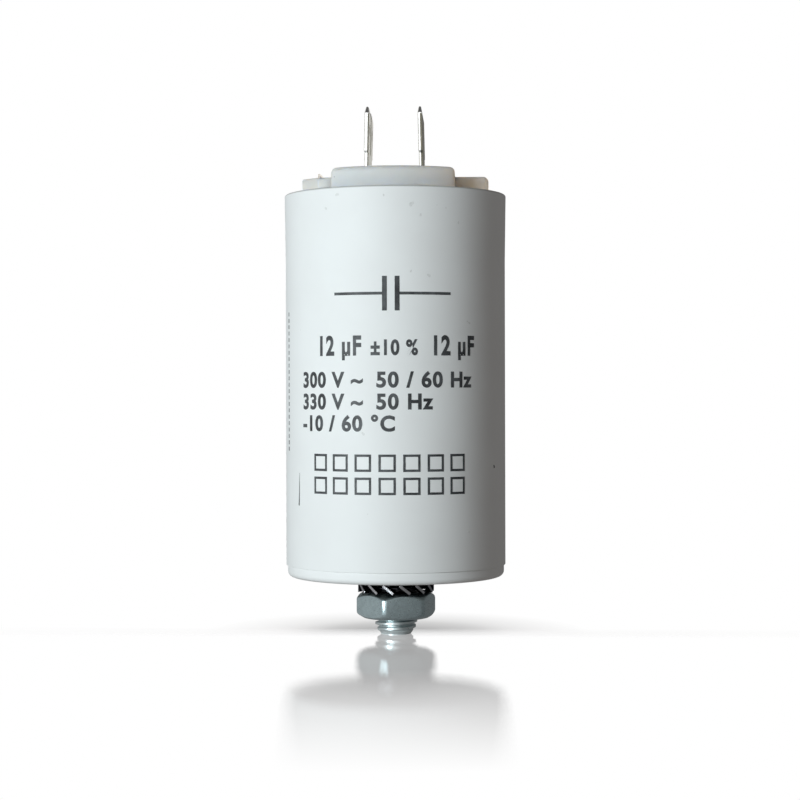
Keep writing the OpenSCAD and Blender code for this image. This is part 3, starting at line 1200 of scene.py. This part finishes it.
@dataclass(kw_only=True)
class ThreadedStud(Piece):
    """The stud: a six-sided head in the floor of the case, and a rolled thread below."""

    shank_r: float = 4.0
    pitch: float = 1.0
    start_z: float = -9.21
    tip_z: float = -10.6
    root_heights: tuple[float, ...] = (0.0, 0.12, 0.6)
    root_radii: tuple[float, ...] = (2.66, 2.78, 3.13)
    crest_heights: tuple[float, ...] = (0.5, 0.8, 1.1, 1.6, 2.1)
    crest_radii: tuple[float, ...] = (2.78, 3.4, 3.52, 3.7, 3.88)
    fullness: float = 0.75
    fine_z: float = -7.0
    plain_z: float = 0.2
    head_z: float = 2.6
    head_top: float = 6.6
    head_r: float = 7.506
    head_lap: float = 0.3
    rows: int = 180
    columns: int = 144

    def shells(self) -> list[Shell]:
        """Works out the thread and the head.

        A point's radius is that of a rolled thread: it swings between a flat crest and a round root
        as the cosine of the height above the ridge's middle at that angle, once for each pitch. At
        the end the root narrows to a rounded rim, in straight steps of the height above the tip, and
        the crest rises from it in steps of the ridge's height. Over the base it is the plain shank.

        Returns:
            The closed surfaces.
        """
        angles = np.linspace(0.0, TURN, self.columns, endpoint=False)
        heights = np.concatenate([
            np.linspace(self.tip_z, self.fine_z, self.rows, endpoint=False),
            np.linspace(self.fine_z, self.head_z + self.head_lap, self.rows),
        ])[:, None]
        turns = (heights - self.start_z) / self.pitch - angles / TURN
        ridge = heights - self.pitch * (turns - np.round(turns))
        swing = np.minimum(self.fullness * (1.0 + np.cos(turns * TURN)), 1.0)
        root = np.interp(heights - self.tip_z, self.root_heights, self.root_radii)
        crest = np.interp(ridge - self.tip_z, self.crest_heights, self.crest_radii)
        radius = root + np.maximum(crest - root, 0.0) * swing
        radius = np.where(heights > self.plain_z, self.shank_r, radius)
        grid = np.stack([
            radius * np.cos(angles),
            radius * np.sin(angles),
            np.broadcast_to(heights, radius.shape),
        ], axis=-1)
        corners = np.arange(6) * TURN / 6.0
        head = [ring(self.head_r, height, corners) for height in (self.head_z, self.head_top)]
        return [Shell.capped(list(grid)), Shell.capped(head)]


@dataclass(kw_only=True)
class HexNut(Piece):
    """A six-sided nut with chamfered faces."""

    half_af: float = 6.5
    fillet: float = 1.1
    face_r: float = 5.9
    low: float = -7.65
    high: float = -2.95
    turn: float = 15.0
    bore_r: float = 4.05
    lead: float = 0.35
    chamfer: float = 30.0
    soft: float = 0.07
    wear: float = 0.4
    wear_steps: tuple[Pair, ...] = ((1.0, -0.57), (0.45, -0.12), (0.12, 0.4), (0.0, 1.0))
    side_columns: int = 90

    def shells(self) -> list[Shell]:
        """Works out the nut.

        The side's radius at an angle is the half width over the cosine of the angle from the
        nearest flat's middle, and at a corner that of the fillet's circle, whose middle lies on the
        line to the corner. The chamfer lowers the side's edge by how far that radius passes the
        face's. The edge is worn rounder at the corners, in steps that lie a share of the wear inside
        the side and below the edge.

        Returns:
            The closed surface.
        """
        count = 6 * self.side_columns
        steps = np.arange(count) * TURN / count
        angles = steps + math.radians(self.turn)
        sixth = TURN / 6.0
        off_flat = steps % sixth - sixth / 2.0
        off_corner = sixth / 2.0 - np.abs(off_flat)
        centre = (self.half_af - self.fillet) / math.cos(sixth / 2.0)
        bend = np.maximum(self.fillet ** 2 - (centre * np.sin(off_corner)) ** 2, 0.0)
        meet = sixth / 2.0 - math.atan(centre * math.sin(sixth / 2.0) / self.half_af)
        side = np.where(off_corner < meet, centre * np.cos(off_corner) + np.sqrt(bend),
                        self.half_af / np.cos(off_flat))
        drop = (side - self.face_r) * math.tan(math.radians(self.chamfer))
        worn = self.soft + self.wear * (side - self.half_af) / (side.max() - self.half_af)
        rows = [
            (self.bore_r, self.lead),
            (self.bore_r + self.lead, 0.0),
            (self.face_r - self.soft, 0.0),
            (self.face_r + self.soft, self.soft * 0.5),
            *((side - inside * worn, drop + below * worn) for inside, below in self.wear_steps),
        ]
        lower = [ring(radius, self.low + depth, angles) for radius, depth in rows]
        upper = [ring(radius, self.high - depth, angles) for radius, depth in rows[::-1]]
        return [Shell.from_grid(np.stack(lower + upper), closed=True)]


@dataclass(kw_only=True)
class LockWasher(Piece):
    """A flat ring with twisted teeth."""

    bore_r: float = 4.2
    ring_r: float = 5.6
    outer_r: float = 7.0
    half_t: float = 0.25
    level: float = -2.056
    teeth: int = 14
    tooth_half: float = 1.1
    tooth_radii: tuple[float, ...] = (5.15, 5.4, 5.55, 5.7, 5.85, 6.0, 6.3, 6.7)
    twist: float = -38.0
    twist_r: float = 5.4
    widen: float = 0.14
    widen_r: float = 6.4
    change: float = 0.6
    soft: float = 0.06
    turn: float = 3.0
    columns: int = 112

    def shells(self) -> list[Shell]:
        """Works out the ring and the teeth.

        A tooth is a rounded strip carried outwards and turned about its own line, smoothly from
        flat at the ring to the full twist. Near its end it widens.

        Returns:
            The closed surfaces.
        """
        soft, thick = self.soft, self.half_t
        square = np.array([(0.0, -1.0), (1.0, -1.0), (1.0, 1.0), (0.0, 1.0)])
        flat = square * (self.ring_r - self.bore_r, thick) + (self.bore_r, self.level)
        made = [revolve(Outline.rounded(flat, soft, 4).flat(0.0), self.columns)]
        reach = np.array([*self.tooth_radii, self.outer_r - soft, self.outer_r])[:, None]
        trim = np.where(reach == self.outer_r, soft, 0.0)
        ease = np.clip((reach - self.twist_r) / self.change, 0.0, 1.0)
        twist = math.radians(self.twist) * ease * ease * (3.0 - 2.0 * ease)
        strip = Outline.rounded(square * (2.0 * self.tooth_half, thick) - (self.tooth_half, 0.0), soft, 4)
        loop = strip.cores + strip.normals * (soft - trim[..., None])
        loop[..., 0] *= 1.0 + self.widen * np.clip((reach - self.widen_r) / self.change, 0.0, 1.0)
        across = loop[..., 0] * np.cos(twist) - loop[..., 1] * np.sin(twist)
        height = loop[..., 0] * np.sin(twist) + loop[..., 1] * np.cos(twist)
        along = np.sqrt(reach ** 2 - across ** 2)
        for angle in math.radians(self.turn) + np.arange(self.teeth) * TURN / self.teeth:
            tooth = np.stack([
                along * math.cos(angle) - across * math.sin(angle),
                along * math.sin(angle) + across * math.cos(angle),
                height + self.level,
            ], axis=-1)
            made.append(Shell.capped(list(tooth)))
        return made


@dataclass(frozen=True)
class Lettering:
    """A row of plain rating figures.

    Attributes:
        text: The figures and units.
        start: Left end along the wall, from the front.
        foot: Height of the row's foot line.
        capital: Height of a capital letter.
        stretch: Width of the letters against the font's own.
    """

    text: str
    start: float
    foot: float
    capital: float
    stretch: float = 1.0


@dataclass(kw_only=True)
class WallPrint(Piece):
    """A thin film on the wall, drawn flat and then wrapped round the case.

    Flat coordinates are the distance along the wall from the front, to the right, and the height.
    """

    wall_r: float = 20.0
    flare: float = 0.17
    flare_z: float = 57.3
    flare_h: float = 11.65
    film: float = 0.03
    bury: float = 0.03
    capital_share: float = 0.69
    boldness: float = 0.036
    spacing: float = 1.12
    cut_reach: float = 26.0
    cut_gap: float = 0.6
    rows: tuple[Lettering, ...] = ()

    def stroke(self, path: np.ndarray, width: float | np.ndarray, closed: bool) -> Shell:
        """Carries a flat strip's section along a path, mitred at its corners.

        Args:
            path: Flat points, shaped (count, 2).
            width: Width of the strip, the same all along or one for each point.
            closed: Whether the path's end joins its start.

        Returns:
            The closed surface, flat.
        """
        ahead = np.roll(path, -1, axis=0) - path
        behind = path - np.roll(path, 1, axis=0)
        if not closed:
            ahead[-1] = behind[-1]
            behind[0] = ahead[0]
        ahead = ahead / np.linalg.norm(ahead, axis=1, keepdims=True)
        behind = behind / np.linalg.norm(behind, axis=1, keepdims=True)
        mean = (ahead + behind) / (1.0 + np.sum(ahead * behind, axis=1, keepdims=True))
        half = np.broadcast_to(width, len(path))[:, None] / 2.0
        offset = np.column_stack([-mean[:, 1], mean[:, 0]]) * half
        corners = [(1.0, -self.bury), (1.0, self.film), (-1.0, self.film), (-1.0, -self.bury)]
        grid = np.stack([
            np.column_stack([path + sign * offset, np.full(len(path), depth)]) for sign, depth in corners
        ], axis=1)
        return Shell.from_grid(grid, closed=True) if closed else Shell.capped(list(grid))

    def blot(self, centre: Pair, radius: float, seed: float) -> Shell:
        """Works out an uneven round spot, whose radius swings two and three times round.

        Args:
            centre: Flat place of its middle.
            radius: Its mean radius.
            seed: Number that sets its unevenness.

        Returns:
            The closed surface, flat.
        """
        angles = np.linspace(0.0, TURN, 24, endpoint=False)
        uneven = 0.25 * np.sin(2.0 * angles + seed) + 0.15 * np.sin(3.0 * angles + 2.0 * seed)
        reach = radius * (1.0 + uneven)
        place = np.array([*centre, 0.0])
        return Shell.capped([ring(reach, depth, angles) + place for depth in (-self.bury, self.film)])

    def letters(self, row: Lettering) -> bpy.types.Mesh:
        """Makes the flat mesh of one row of figures in the built-in font.

        Args:
            row: The row.

        Returns:
            The mesh, flat and in millimetres.
        """
        curve = bpy.data.curves.new("row", "FONT")
        curve.body = row.text
        curve.size = row.capital / self.capital_share
        curve.offset = self.boldness * curve.size
        curve.space_character = self.spacing
        curve.extrude = (self.film + self.bury) / 2.0
        curve.resolution_u = 5
        holder = link("row", curve)
        seen = holder.evaluated_get(bpy.context.evaluated_depsgraph_get())
        mesh = bpy.data.meshes.new_from_object(seen)
        place = np.zeros(len(mesh.vertices) * 3)
        mesh.vertices.foreach_get("co", place)
        place = place.reshape(-1, 3) * np.array([row.stretch, 1.0, 1.0])
        place = place + np.array([row.start, row.foot, (self.film - self.bury) / 2.0])
        mesh.vertices.foreach_set("co", place.ravel())
        bpy.data.objects.remove(holder)
        bpy.data.curves.remove(curve)
        return mesh

    def build(self) -> bpy.types.Object:
        """Draws everything flat, cuts it fine along the wall and wraps it.

        A flat point's distance along the wall over the wall's radius is its angle. Its depth and
        the flare at its height add to that radius.

        Returns:
            The new object.
        """
        drawn = Shell.joined(self.shells())
        mesh = bpy.data.meshes.new(self.name)
        mesh.from_pydata(drawn.points, [], drawn.quads)
        work = bmesh.new()
        work.from_mesh(mesh)
        for row in self.rows:
            letters = self.letters(row)
            work.from_mesh(letters)
            bpy.data.meshes.remove(letters)
        bmesh.ops.remove_doubles(work, verts=work.verts, dist=1e-4)
        for mark in np.arange(-self.cut_reach, self.cut_reach, self.cut_gap):
            parts = [*work.verts, *work.edges, *work.faces]
            place, across = (mark, 0.0, 0.0), (1.0, 0.0, 0.0)
            bmesh.ops.bisect_plane(work, geom=parts, dist=1e-5, plane_co=place, plane_no=across)
        work.to_mesh(mesh)
        work.free()
        flat = np.zeros(len(mesh.vertices) * 3)
        mesh.vertices.foreach_get("co", flat)
        along, height, depth = flat.reshape(-1, 3).T
        angle = along / self.wall_r
        rise = np.clip((height - self.flare_z) / self.flare_h, 0.0, 1.0)
        radius = self.wall_r + depth + self.flare * rise
        wrapped = np.column_stack([radius * np.sin(angle), -radius * np.cos(angle), height]) * MM
        mesh.vertices.foreach_set("co", wrapped.ravel())
        settle(mesh, self.sharp)
        return link(self.name, mesh)


@dataclass(kw_only=True)
class RatingPrint(WallPrint):
    """Plain rating figures, the circuit sign for a capacitor and a grid of date squares."""

    sign_z: float = 50.6
    wire_ends: Pair = (-10.4, 10.8)
    wire_width: float = 0.5
    plate_x: float = 1.1
    plate_half: float = 3.0
    plate_width: float = 0.85
    box_half: float = 1.3
    box_line: float = 0.42
    box_start: Pair = (-13.6, 21.2)
    box_steps: Pair = (4.3, -4.0)
    box_columns: int = 7
    box_rows: int = 2
    tick_x: float = -24.75
    tick_range: Pair = (23.0, 48.0)
    tick_step: float = 1.15
    tick_long: float = 0.7
    tick_width: float = 0.4

    def shells(self) -> list[Shell]:
        """Works out the circuit sign, the date squares and the ticks at the side.

        Returns:
            The closed surfaces, flat.
        """
        left, right = self.wire_ends
        middle, plate = self.sign_z, self.plate_x
        low, high = middle - self.plate_half, middle + self.plate_half
        lines = [
            (np.array([(left, middle), (-plate, middle)]), self.wire_width),
            (np.array([(plate, middle), (right, middle)]), self.wire_width),
            (np.array([(-plate, low), (-plate, high)]), self.plate_width),
            (np.array([(plate, low), (plate, high)]), self.plate_width),
        ]
        share = np.linspace(0.0, 1.0, 12)[:, None]
        made = [
            self.stroke(ends[0] + (ends[1] - ends[0]) * share, width, closed=False)
            for ends, width in lines
        ]
        square = self.box_half * np.array([(-1.0, -1.0), (1.0, -1.0), (1.0, 1.0), (-1.0, 1.0)])
        for row, column in np.ndindex(self.box_rows, self.box_columns):
            place = np.array([column, row]) * self.box_steps + self.box_start
            made.append(self.stroke(square + place, self.box_line, closed=True))
        for height in np.arange(*self.tick_range, self.tick_step):
            tick = np.array([(self.tick_x, height), (self.tick_x, height + self.tick_long)])
            made.append(self.stroke(tick, self.tick_width, closed=False))
        return made


@dataclass(kw_only=True)
class WallMarks(WallPrint):
    """Spots on the wall, and a hairline if there is one.

    Attributes:
        spots: Flat place and radius of each spot.
        hairline: Whether the hairline near the left edge is drawn.
        hair_foot: Flat place of the hairline's foot.
        hair_long: How far its top lies to the right of its foot and above it.
        hair_wave: How far it bends to a side.
        hair_widths: Its width at its foot and at its top.
    """

    spots: tuple[Triple, ...]
    hairline: bool = False
    hair_foot: Pair = (-19.85, 13.4)
    hair_long: Pair = (0.3, 5.8)
    hair_wave: float = 0.05
    hair_widths: Pair = (0.32, 0.06)

    def shells(self) -> list[Shell]:
        """Works out the spots and the hairline.

        Returns:
            The closed surfaces, flat.
        """
        made = [self.blot((x, z), radius, 7.0 * x) for x, z, radius in self.spots]
        if self.hairline:
            run = np.linspace(0.0, 1.0, 14)
            path = np.outer(run, self.hair_long) + self.hair_foot
            path[:, 0] += self.hair_wave * np.sin(5.0 * run)
            thick, thin = self.hair_widths
            made.append(self.stroke(path, thick + (thin - thick) * run, closed=False))
        return made


@dataclass(frozen=True)
class Lamp:
    """A soft square lamp that points at the capacitor.

    Attributes:
        name: The lamp's name.
        bearing: Its angle from the front, to the right, in degrees.
        rise: Its angle above the floor, in degrees.
        reach: Its distance in metres.
        size: Its side in metres.
        power: Its power in watts.
        tint: Its colour.
        mirrored: Whether it shows in reflections.
        only: Name of the one object that it lights, or empty for all but the floor.
    """

    name: str
    bearing: float
    rise: float
    reach: float
    size: float
    power: float
    tint: Rgb = (1.0, 1.0, 1.0)
    mirrored: bool = True
    only: str = ""

    def build(self, aim_z: float) -> bpy.types.Object:
        """Makes the lamp.

        Args:
            aim_z: Height in metres that it points at.

        Returns:
            The new object.
        """
        data = bpy.data.lights.new(self.name, "AREA")
        data.size = self.size
        data.energy = self.power
        data.color = self.tint
        made = link(self.name, data)
        made.visible_glossy = self.mirrored
        turn, lift = math.radians(self.bearing), math.radians(self.rise)
        level, height = self.reach * math.cos(lift), self.reach * math.sin(lift)
        made.location = (level * math.sin(turn), -level * math.cos(turn), aim_z + height)
        made.rotation_euler = (math.radians(90.0 - self.rise), 0.0, turn)
        group = bpy.data.collections.new(self.name + "_link")
        group.objects.link(bpy.data.objects[self.only or "floor"])
        group.collection_objects[0].light_linking.link_state = "INCLUDE" if self.only else "EXCLUDE"
        made.light_linking.receiver_collection = group
        return made


@dataclass(frozen=True)
class Studio:
    """A white floor and backdrop, soft lamps, and the camera.

    Attributes:
        floor_z: Height of the floor in millimetres.
        eye_z: Height of the camera in millimetres.
        distance: Distance of the camera from the axis in millimetres.
        azimuth: The camera's angle from the front, to the right, in degrees.
        roll: The camera's roll in degrees.
        lens: Focal length in millimetres.
        sensor: Width of the camera's sensor in millimetres.
        shift: The lens's shift across and up.
        glare: Brightness of the surroundings in the floor's mirror.
        floor_half: Half the floor's side in metres.
        seam: Depths in metres between which the mirror in front turns matt.
        matt: Whiteness of the matt part at the axis.
        matt_fade: Distances in metres from the axis between which it fades.
        mirror: Strength of the mirror at the axis.
        mirror_fade: Distances in metres from the axis between which it fades.
        grit: How far the mirror's fine tilt goes across and in depth.
        ambient: Strength of the light from all round.
        ambient_tint: Its colour.
        room: Brightness that metal mirrors at the left and at the right.
        room_turn: Where the room turns from the one to the other.
        room_skew: Share of the depth in that.
        overhead: Share of that brightness that is left overhead.
        overhead_rise: Heights between which it falls to that share.
        window: Brightness of the window behind the camera.
        window_depth: Depths between which the window ends.
        window_rise: Heights between which the window starts.
    """

    floor_z: float
    eye_z: float = 33.79
    distance: float = 356.2
    azimuth: float = 2.3
    roll: float = 0.13
    lens: float = 87.62
    sensor: float = 36.0
    shift: Pair = (0.0055, -0.012)
    glare: float = 1.85
    floor_half: float = 9.0
    seam: Pair = (-0.006, 0.007)
    matt: float = 0.6
    matt_fade: Pair = (0.008, 0.036)
    mirror: float = 0.34
    mirror_fade: Pair = (0.047, 0.13)
    grit: Pair = (0.06, 0.008)
    ambient: float = 0.165
    ambient_tint: Rgb = (1.0, 0.975, 0.95)
    room: Pair = (0.52, 0.19)
    room_turn: Pair = (-0.5, 0.25)
    room_skew: float = 0.4
    overhead: float = 0.25
    overhead_rise: Pair = (0.55, 0.9)
    window: float = 3.0
    window_depth: Pair = (-0.985, -0.95)
    window_rise: Pair = (0.0, 0.06)

    def floor(self) -> None:
        """Makes the polished floor."""
        mesh = bpy.data.meshes.new("floor")
        square = np.array([(-1.0, -1.0, 0.0), (1.0, -1.0, 0.0), (1.0, 1.0, 0.0), (-1.0, 1.0, 0.0)])
        corners = square * self.floor_half + (0.0, 0.0, self.floor_z * MM)
        mesh.from_pydata(corners, [], [(0, 1, 2, 3)])
        made = link("floor", mesh)
        made.visible_diffuse = False
        made.visible_glossy = False
        material = bpy.data.materials.new("floor_white")
        material.use_nodes = True
        wiring = Wiring(material.node_tree)
        mesh.materials.append(material)
        self.polish(wiring)

    def polish(self, wiring: Wiring) -> None:
        """Adds the floor's nodes.

        It is a mirror in front of the stud and matt behind it. Both fade with the distance from the
        axis, and plain white to the camera makes up for what they take. A fine random tilt softens
        the mirror.

        Args:
            wiring: The material's nodes.
        """
        place = wiring.add("ShaderNodeTexCoord").outputs["Object"]
        depth = wiring.axes()["Y"]
        front = wiring.span(depth, 1.0, 0.0, *self.seam)
        reach = wiring.reach()
        matt = wiring.span(reach, self.matt, 0.0, *self.matt_fade)
        mirror = wiring.span(reach, self.mirror, 0.0, *self.mirror_fade)
        share = wiring.add("ShaderNodeMix", {0: front, 2: matt, 3: mirror}).outputs[0]
        glare = wiring.span(front, 1.0, self.glare, 0.0, 1.0)
        white = wiring.math("SUBTRACT", 1.0, wiring.math("MULTIPLY", share, glare))
        grit = wiring.add("ShaderNodeTexWhiteNoise", {"Vector": place}).outputs["Color"]
        across, deep = self.grit
        ends = {"Vector": grit, 9: (-across, -deep, 1.0), 10: (across, deep, 1.0)}
        tilt = wiring.add("ShaderNodeMapRange", ends, data_type="FLOAT_VECTOR")
        upright = wiring.add("ShaderNodeVectorMath", {0: tilt.outputs["Vector"]}, operation="NORMALIZE")
        seen = wiring.add("ShaderNodeLightPath").outputs["Is Camera Ray"]
        gloss = {"Color": share, "Roughness": 0.0, "Normal": upright.outputs["Vector"]}
        parts = [
            wiring.add("ShaderNodeBsdfDiffuse", {"Color": share}),
            wiring.add("ShaderNodeBsdfGlossy", gloss),
            wiring.add("ShaderNodeEmission", {"Strength": wiring.math("MULTIPLY", seen, white)}),
        ]
        matt_bsdf, mirror_bsdf, emission = [part.outputs[0] for part in parts]
        body = wiring.add("ShaderNodeMixShader", {0: front, 1: matt_bsdf, 2: mirror_bsdf})
        whole = wiring.add("ShaderNodeAddShader", {0: body.outputs[0], 1: emission})
        wiring.add("ShaderNodeOutputMaterial", {"Surface": whole.outputs[0]})

    def world(self) -> None:
        """Makes the surroundings: white to the camera and the floor's mirror, a dim room to the metal."""
        world = bpy.data.worlds.new("studio")
        bpy.context.scene.world = world
        world.use_nodes = True
        wiring = Wiring(world.node_tree)
        rays = wiring.add("ShaderNodeLightPath").outputs
        mirrored = wiring.math("MAXIMUM", rays["Is Glossy Ray"], rays["Is Transmission Ray"])
        plain = wiring.math("MAXIMUM", rays["Is Camera Ray"], rays["Is Singular Ray"])
        along = wiring.axes("ShaderNodeTexCoord", "Generated")
        turned = wiring.math("ADD", along["X"], wiring.math("MULTIPLY", along["Y"], self.room_skew))
        overhead = wiring.span(along["Z"], 1.0, self.overhead, *self.overhead_rise)
        side = wiring.math("MULTIPLY", overhead, wiring.span(turned, *self.room, *self.room_turn))
        front = wiring.span(along["Y"], self.window, 0.0, *self.window_depth)
        above = wiring.math("MULTIPLY", front, wiring.span(along["Z"], 0.0, 1.0, *self.window_rise))
        room = wiring.math("MAXIMUM", side, above)
        level = wiring.span(rays["Is Singular Ray"], 1.0, self.glare, 0.0, 1.0)
        white = (1.0, 1.0, 1.0)
        ambient, mirror, bright = (
            wiring.add("ShaderNodeBackground", {"Color": (*tint, 1.0), "Strength": strength}).outputs[0]
            for tint, strength in ((self.ambient_tint, self.ambient), (white, room), (white, level))
        )
        unseen = wiring.add("ShaderNodeMixShader", {0: mirrored, 1: ambient, 2: mirror})
        seen = wiring.add("ShaderNodeMixShader", {0: plain, 1: unseen.outputs[0], 2: bright})
        wiring.add("ShaderNodeOutputWorld", {"Surface": seen.outputs[0]})

    def lamps(self) -> None:
        """Adds the lamps: two light the capacitor, and the others only one object each."""
        lamps = [
            Lamp("key", -37.0, 5.0, 0.9, 0.36, 8.7, (0.865, 0.957, 0.985)),
            Lamp("back_fill", 180.0, 4.0, 1.1, 0.4, 4.0, mirrored=False),
            Lamp("lid_glow", 176.0, 6.0, 1.1, 0.4, 6.5, (1.0, 0.92, 0.84),
                 mirrored=False, only="lid_moulding"),
            Lamp("lid_warmth", 70.0, 5.0, 1.1, 0.4, 1.7, (1.0, 0.62, 0.3),
                 mirrored=False, only="lid_moulding"),
            Lamp("tab_glow", 176.0, 4.0, 1.1, 0.4, 0.5, only="tabs_left"),
            Lamp("stud_glow", -28.0, 22.0, 0.9, 0.3, 3.0, only="threaded_stud"),
            Lamp("floor_wash", -25.0, 72.0, 0.9, 1.0, 6.6, (1.0, 0.985, 0.97), only="floor"),
        ]
        for lamp in lamps:
            lamp.build(self.eye_z * MM)

    def camera(self) -> None:
        """Adds the camera at the photograph's place."""
        data = bpy.data.cameras.new("camera")
        data.sensor_width = self.sensor
        data.lens = self.lens
        data.shift_x, data.shift_y = self.shift
        data.clip_start = 0.01
        made = link("camera", data)
        turn = math.radians(self.azimuth)
        aside, back = self.distance * math.sin(turn), self.distance * math.cos(turn)
        made.location = np.array([aside, -back, self.eye_z]) * MM
        made.rotation_euler = (math.radians(90.0), math.radians(self.roll), turn)
        bpy.context.scene.camera = made

    def build(self) -> None:
        """Makes everything round the capacitor."""
        self.floor()
        self.world()
        self.lamps()
        self.camera()
        bpy.context.scene.view_settings.view_transform = "Standard"


def dress_hidden(frame: dict) -> None:
    """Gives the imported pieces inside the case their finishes.
    """
    slots = {
        "film_roll": "film", "core_tube": "core_plastic", "roll_wrap": "wrap_film",
        "end_spray_top": "sprayed_zinc", "end_spray_bottom": "sprayed_zinc",
        "short_lead": "copper", "long_lead": "copper", "lead_sleeve": "sleeve_plastic",
        "solder_joints": "solder", "insulating_disc": "disc_board", "potting_resin": "resin",
    }
    for node, slot in slots.items():
        packed = frame["nodes"][node]
        packed.data.materials.clear()
        packed.data.materials.append(HIDDEN_FINISHES[slot].material())
        LOG.info("dressed %s", node)


def pieces() -> list[Piece]:
    """Lists the pieces that show.

    Returns:
        The pieces, from the base up and then the print.
    """
    rows = (
        Lettering("12 µF", -14.2, 40.0, 3.2, 0.76),
        Lettering("±10 %", -3.6, 40.0, 2.5, 0.82),
        Lettering("12 µF", 7.0, 40.0, 3.2, 0.76),
        Lettering("300 V ~", -18.3, 34.4, 2.55),
        Lettering("50 / 60 Hz", -2.6, 34.4, 2.55),
        Lettering("330 V ~", -18.3, 30.6, 2.55),
        Lettering("50 Hz", -2.6, 30.6, 2.55),
        Lettering("-10 / 60 °C", -18.3, 26.8, 2.55),
    )
    stains = (
        (-9.7, 67.9, 0.3), (3.6, 66.0, 0.4), (5.2, 64.1, 0.22), (-12.1, 65.6, 0.24), (3.5, 54.4, 0.2),
        (6.7, 53.7, 0.3), (-4.9, 26.3, 0.26), (12.4, 63.0, 0.18), (14.6, 9.0, 0.2),
    )
    return [
        CaseShell(name="case_shell", nodes=("case",), finish=CASE_WHITE, slot="case_plastic"),
        LidMoulding(name="lid_moulding", nodes=("lid",), finish=LID_WHITE, slot="lid_plastic"),
        Terminal(name="tabs_left", nodes=("terminal_left",), finish=TINNED, slot="tinned_brass",
                 side=Side.LEFT),
        Terminal(name="tabs_right", nodes=("terminal_right",), finish=TINNED_RIGHT, slot="tinned_brass",
                 side=Side.RIGHT),
        ThreadedStud(name="threaded_stud", nodes=("stud_bolt",), finish=THREAD_ZINC, slot="zinc_steel"),
        LockWasher(name="toothed_washer", nodes=("lock_washer",), finish=SPRING, slot="spring_steel",
                   body=Body.WASHER),
        HexNut(name="six_sided_nut", nodes=("hex_nut",), finish=ZINC, slot="zinc_steel",
               body=Body.NUT, sharp=24.0),
        RatingPrint(name="rating_print", nodes=(), finish=INK, rows=rows),
        WallMarks(name="black_marks", nodes=(), finish=INK, spots=((22.1, 20.2, 0.24),), hairline=True),
        WallMarks(name="faint_stains", nodes=(), finish=STAIN, spots=stains),
    ]


def main() -> None:
    """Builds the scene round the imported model."""
    logging.basicConfig(level=logging.INFO, format="%(name)s: %(message)s")
    for leftover in list(bpy.data.objects):
        bpy.data.objects.remove(leftover)
    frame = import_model()
    dress_hidden(frame)
    for piece in pieces():
        made = piece.build()
        piece.dress(made)
        LOG.info("built %s with %d faces", piece.name, len(made.data.polygons))
    Studio(floor_z=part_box("stud_bolt")[0].z / MM).build()


if __name__ == "__main__":
    main()
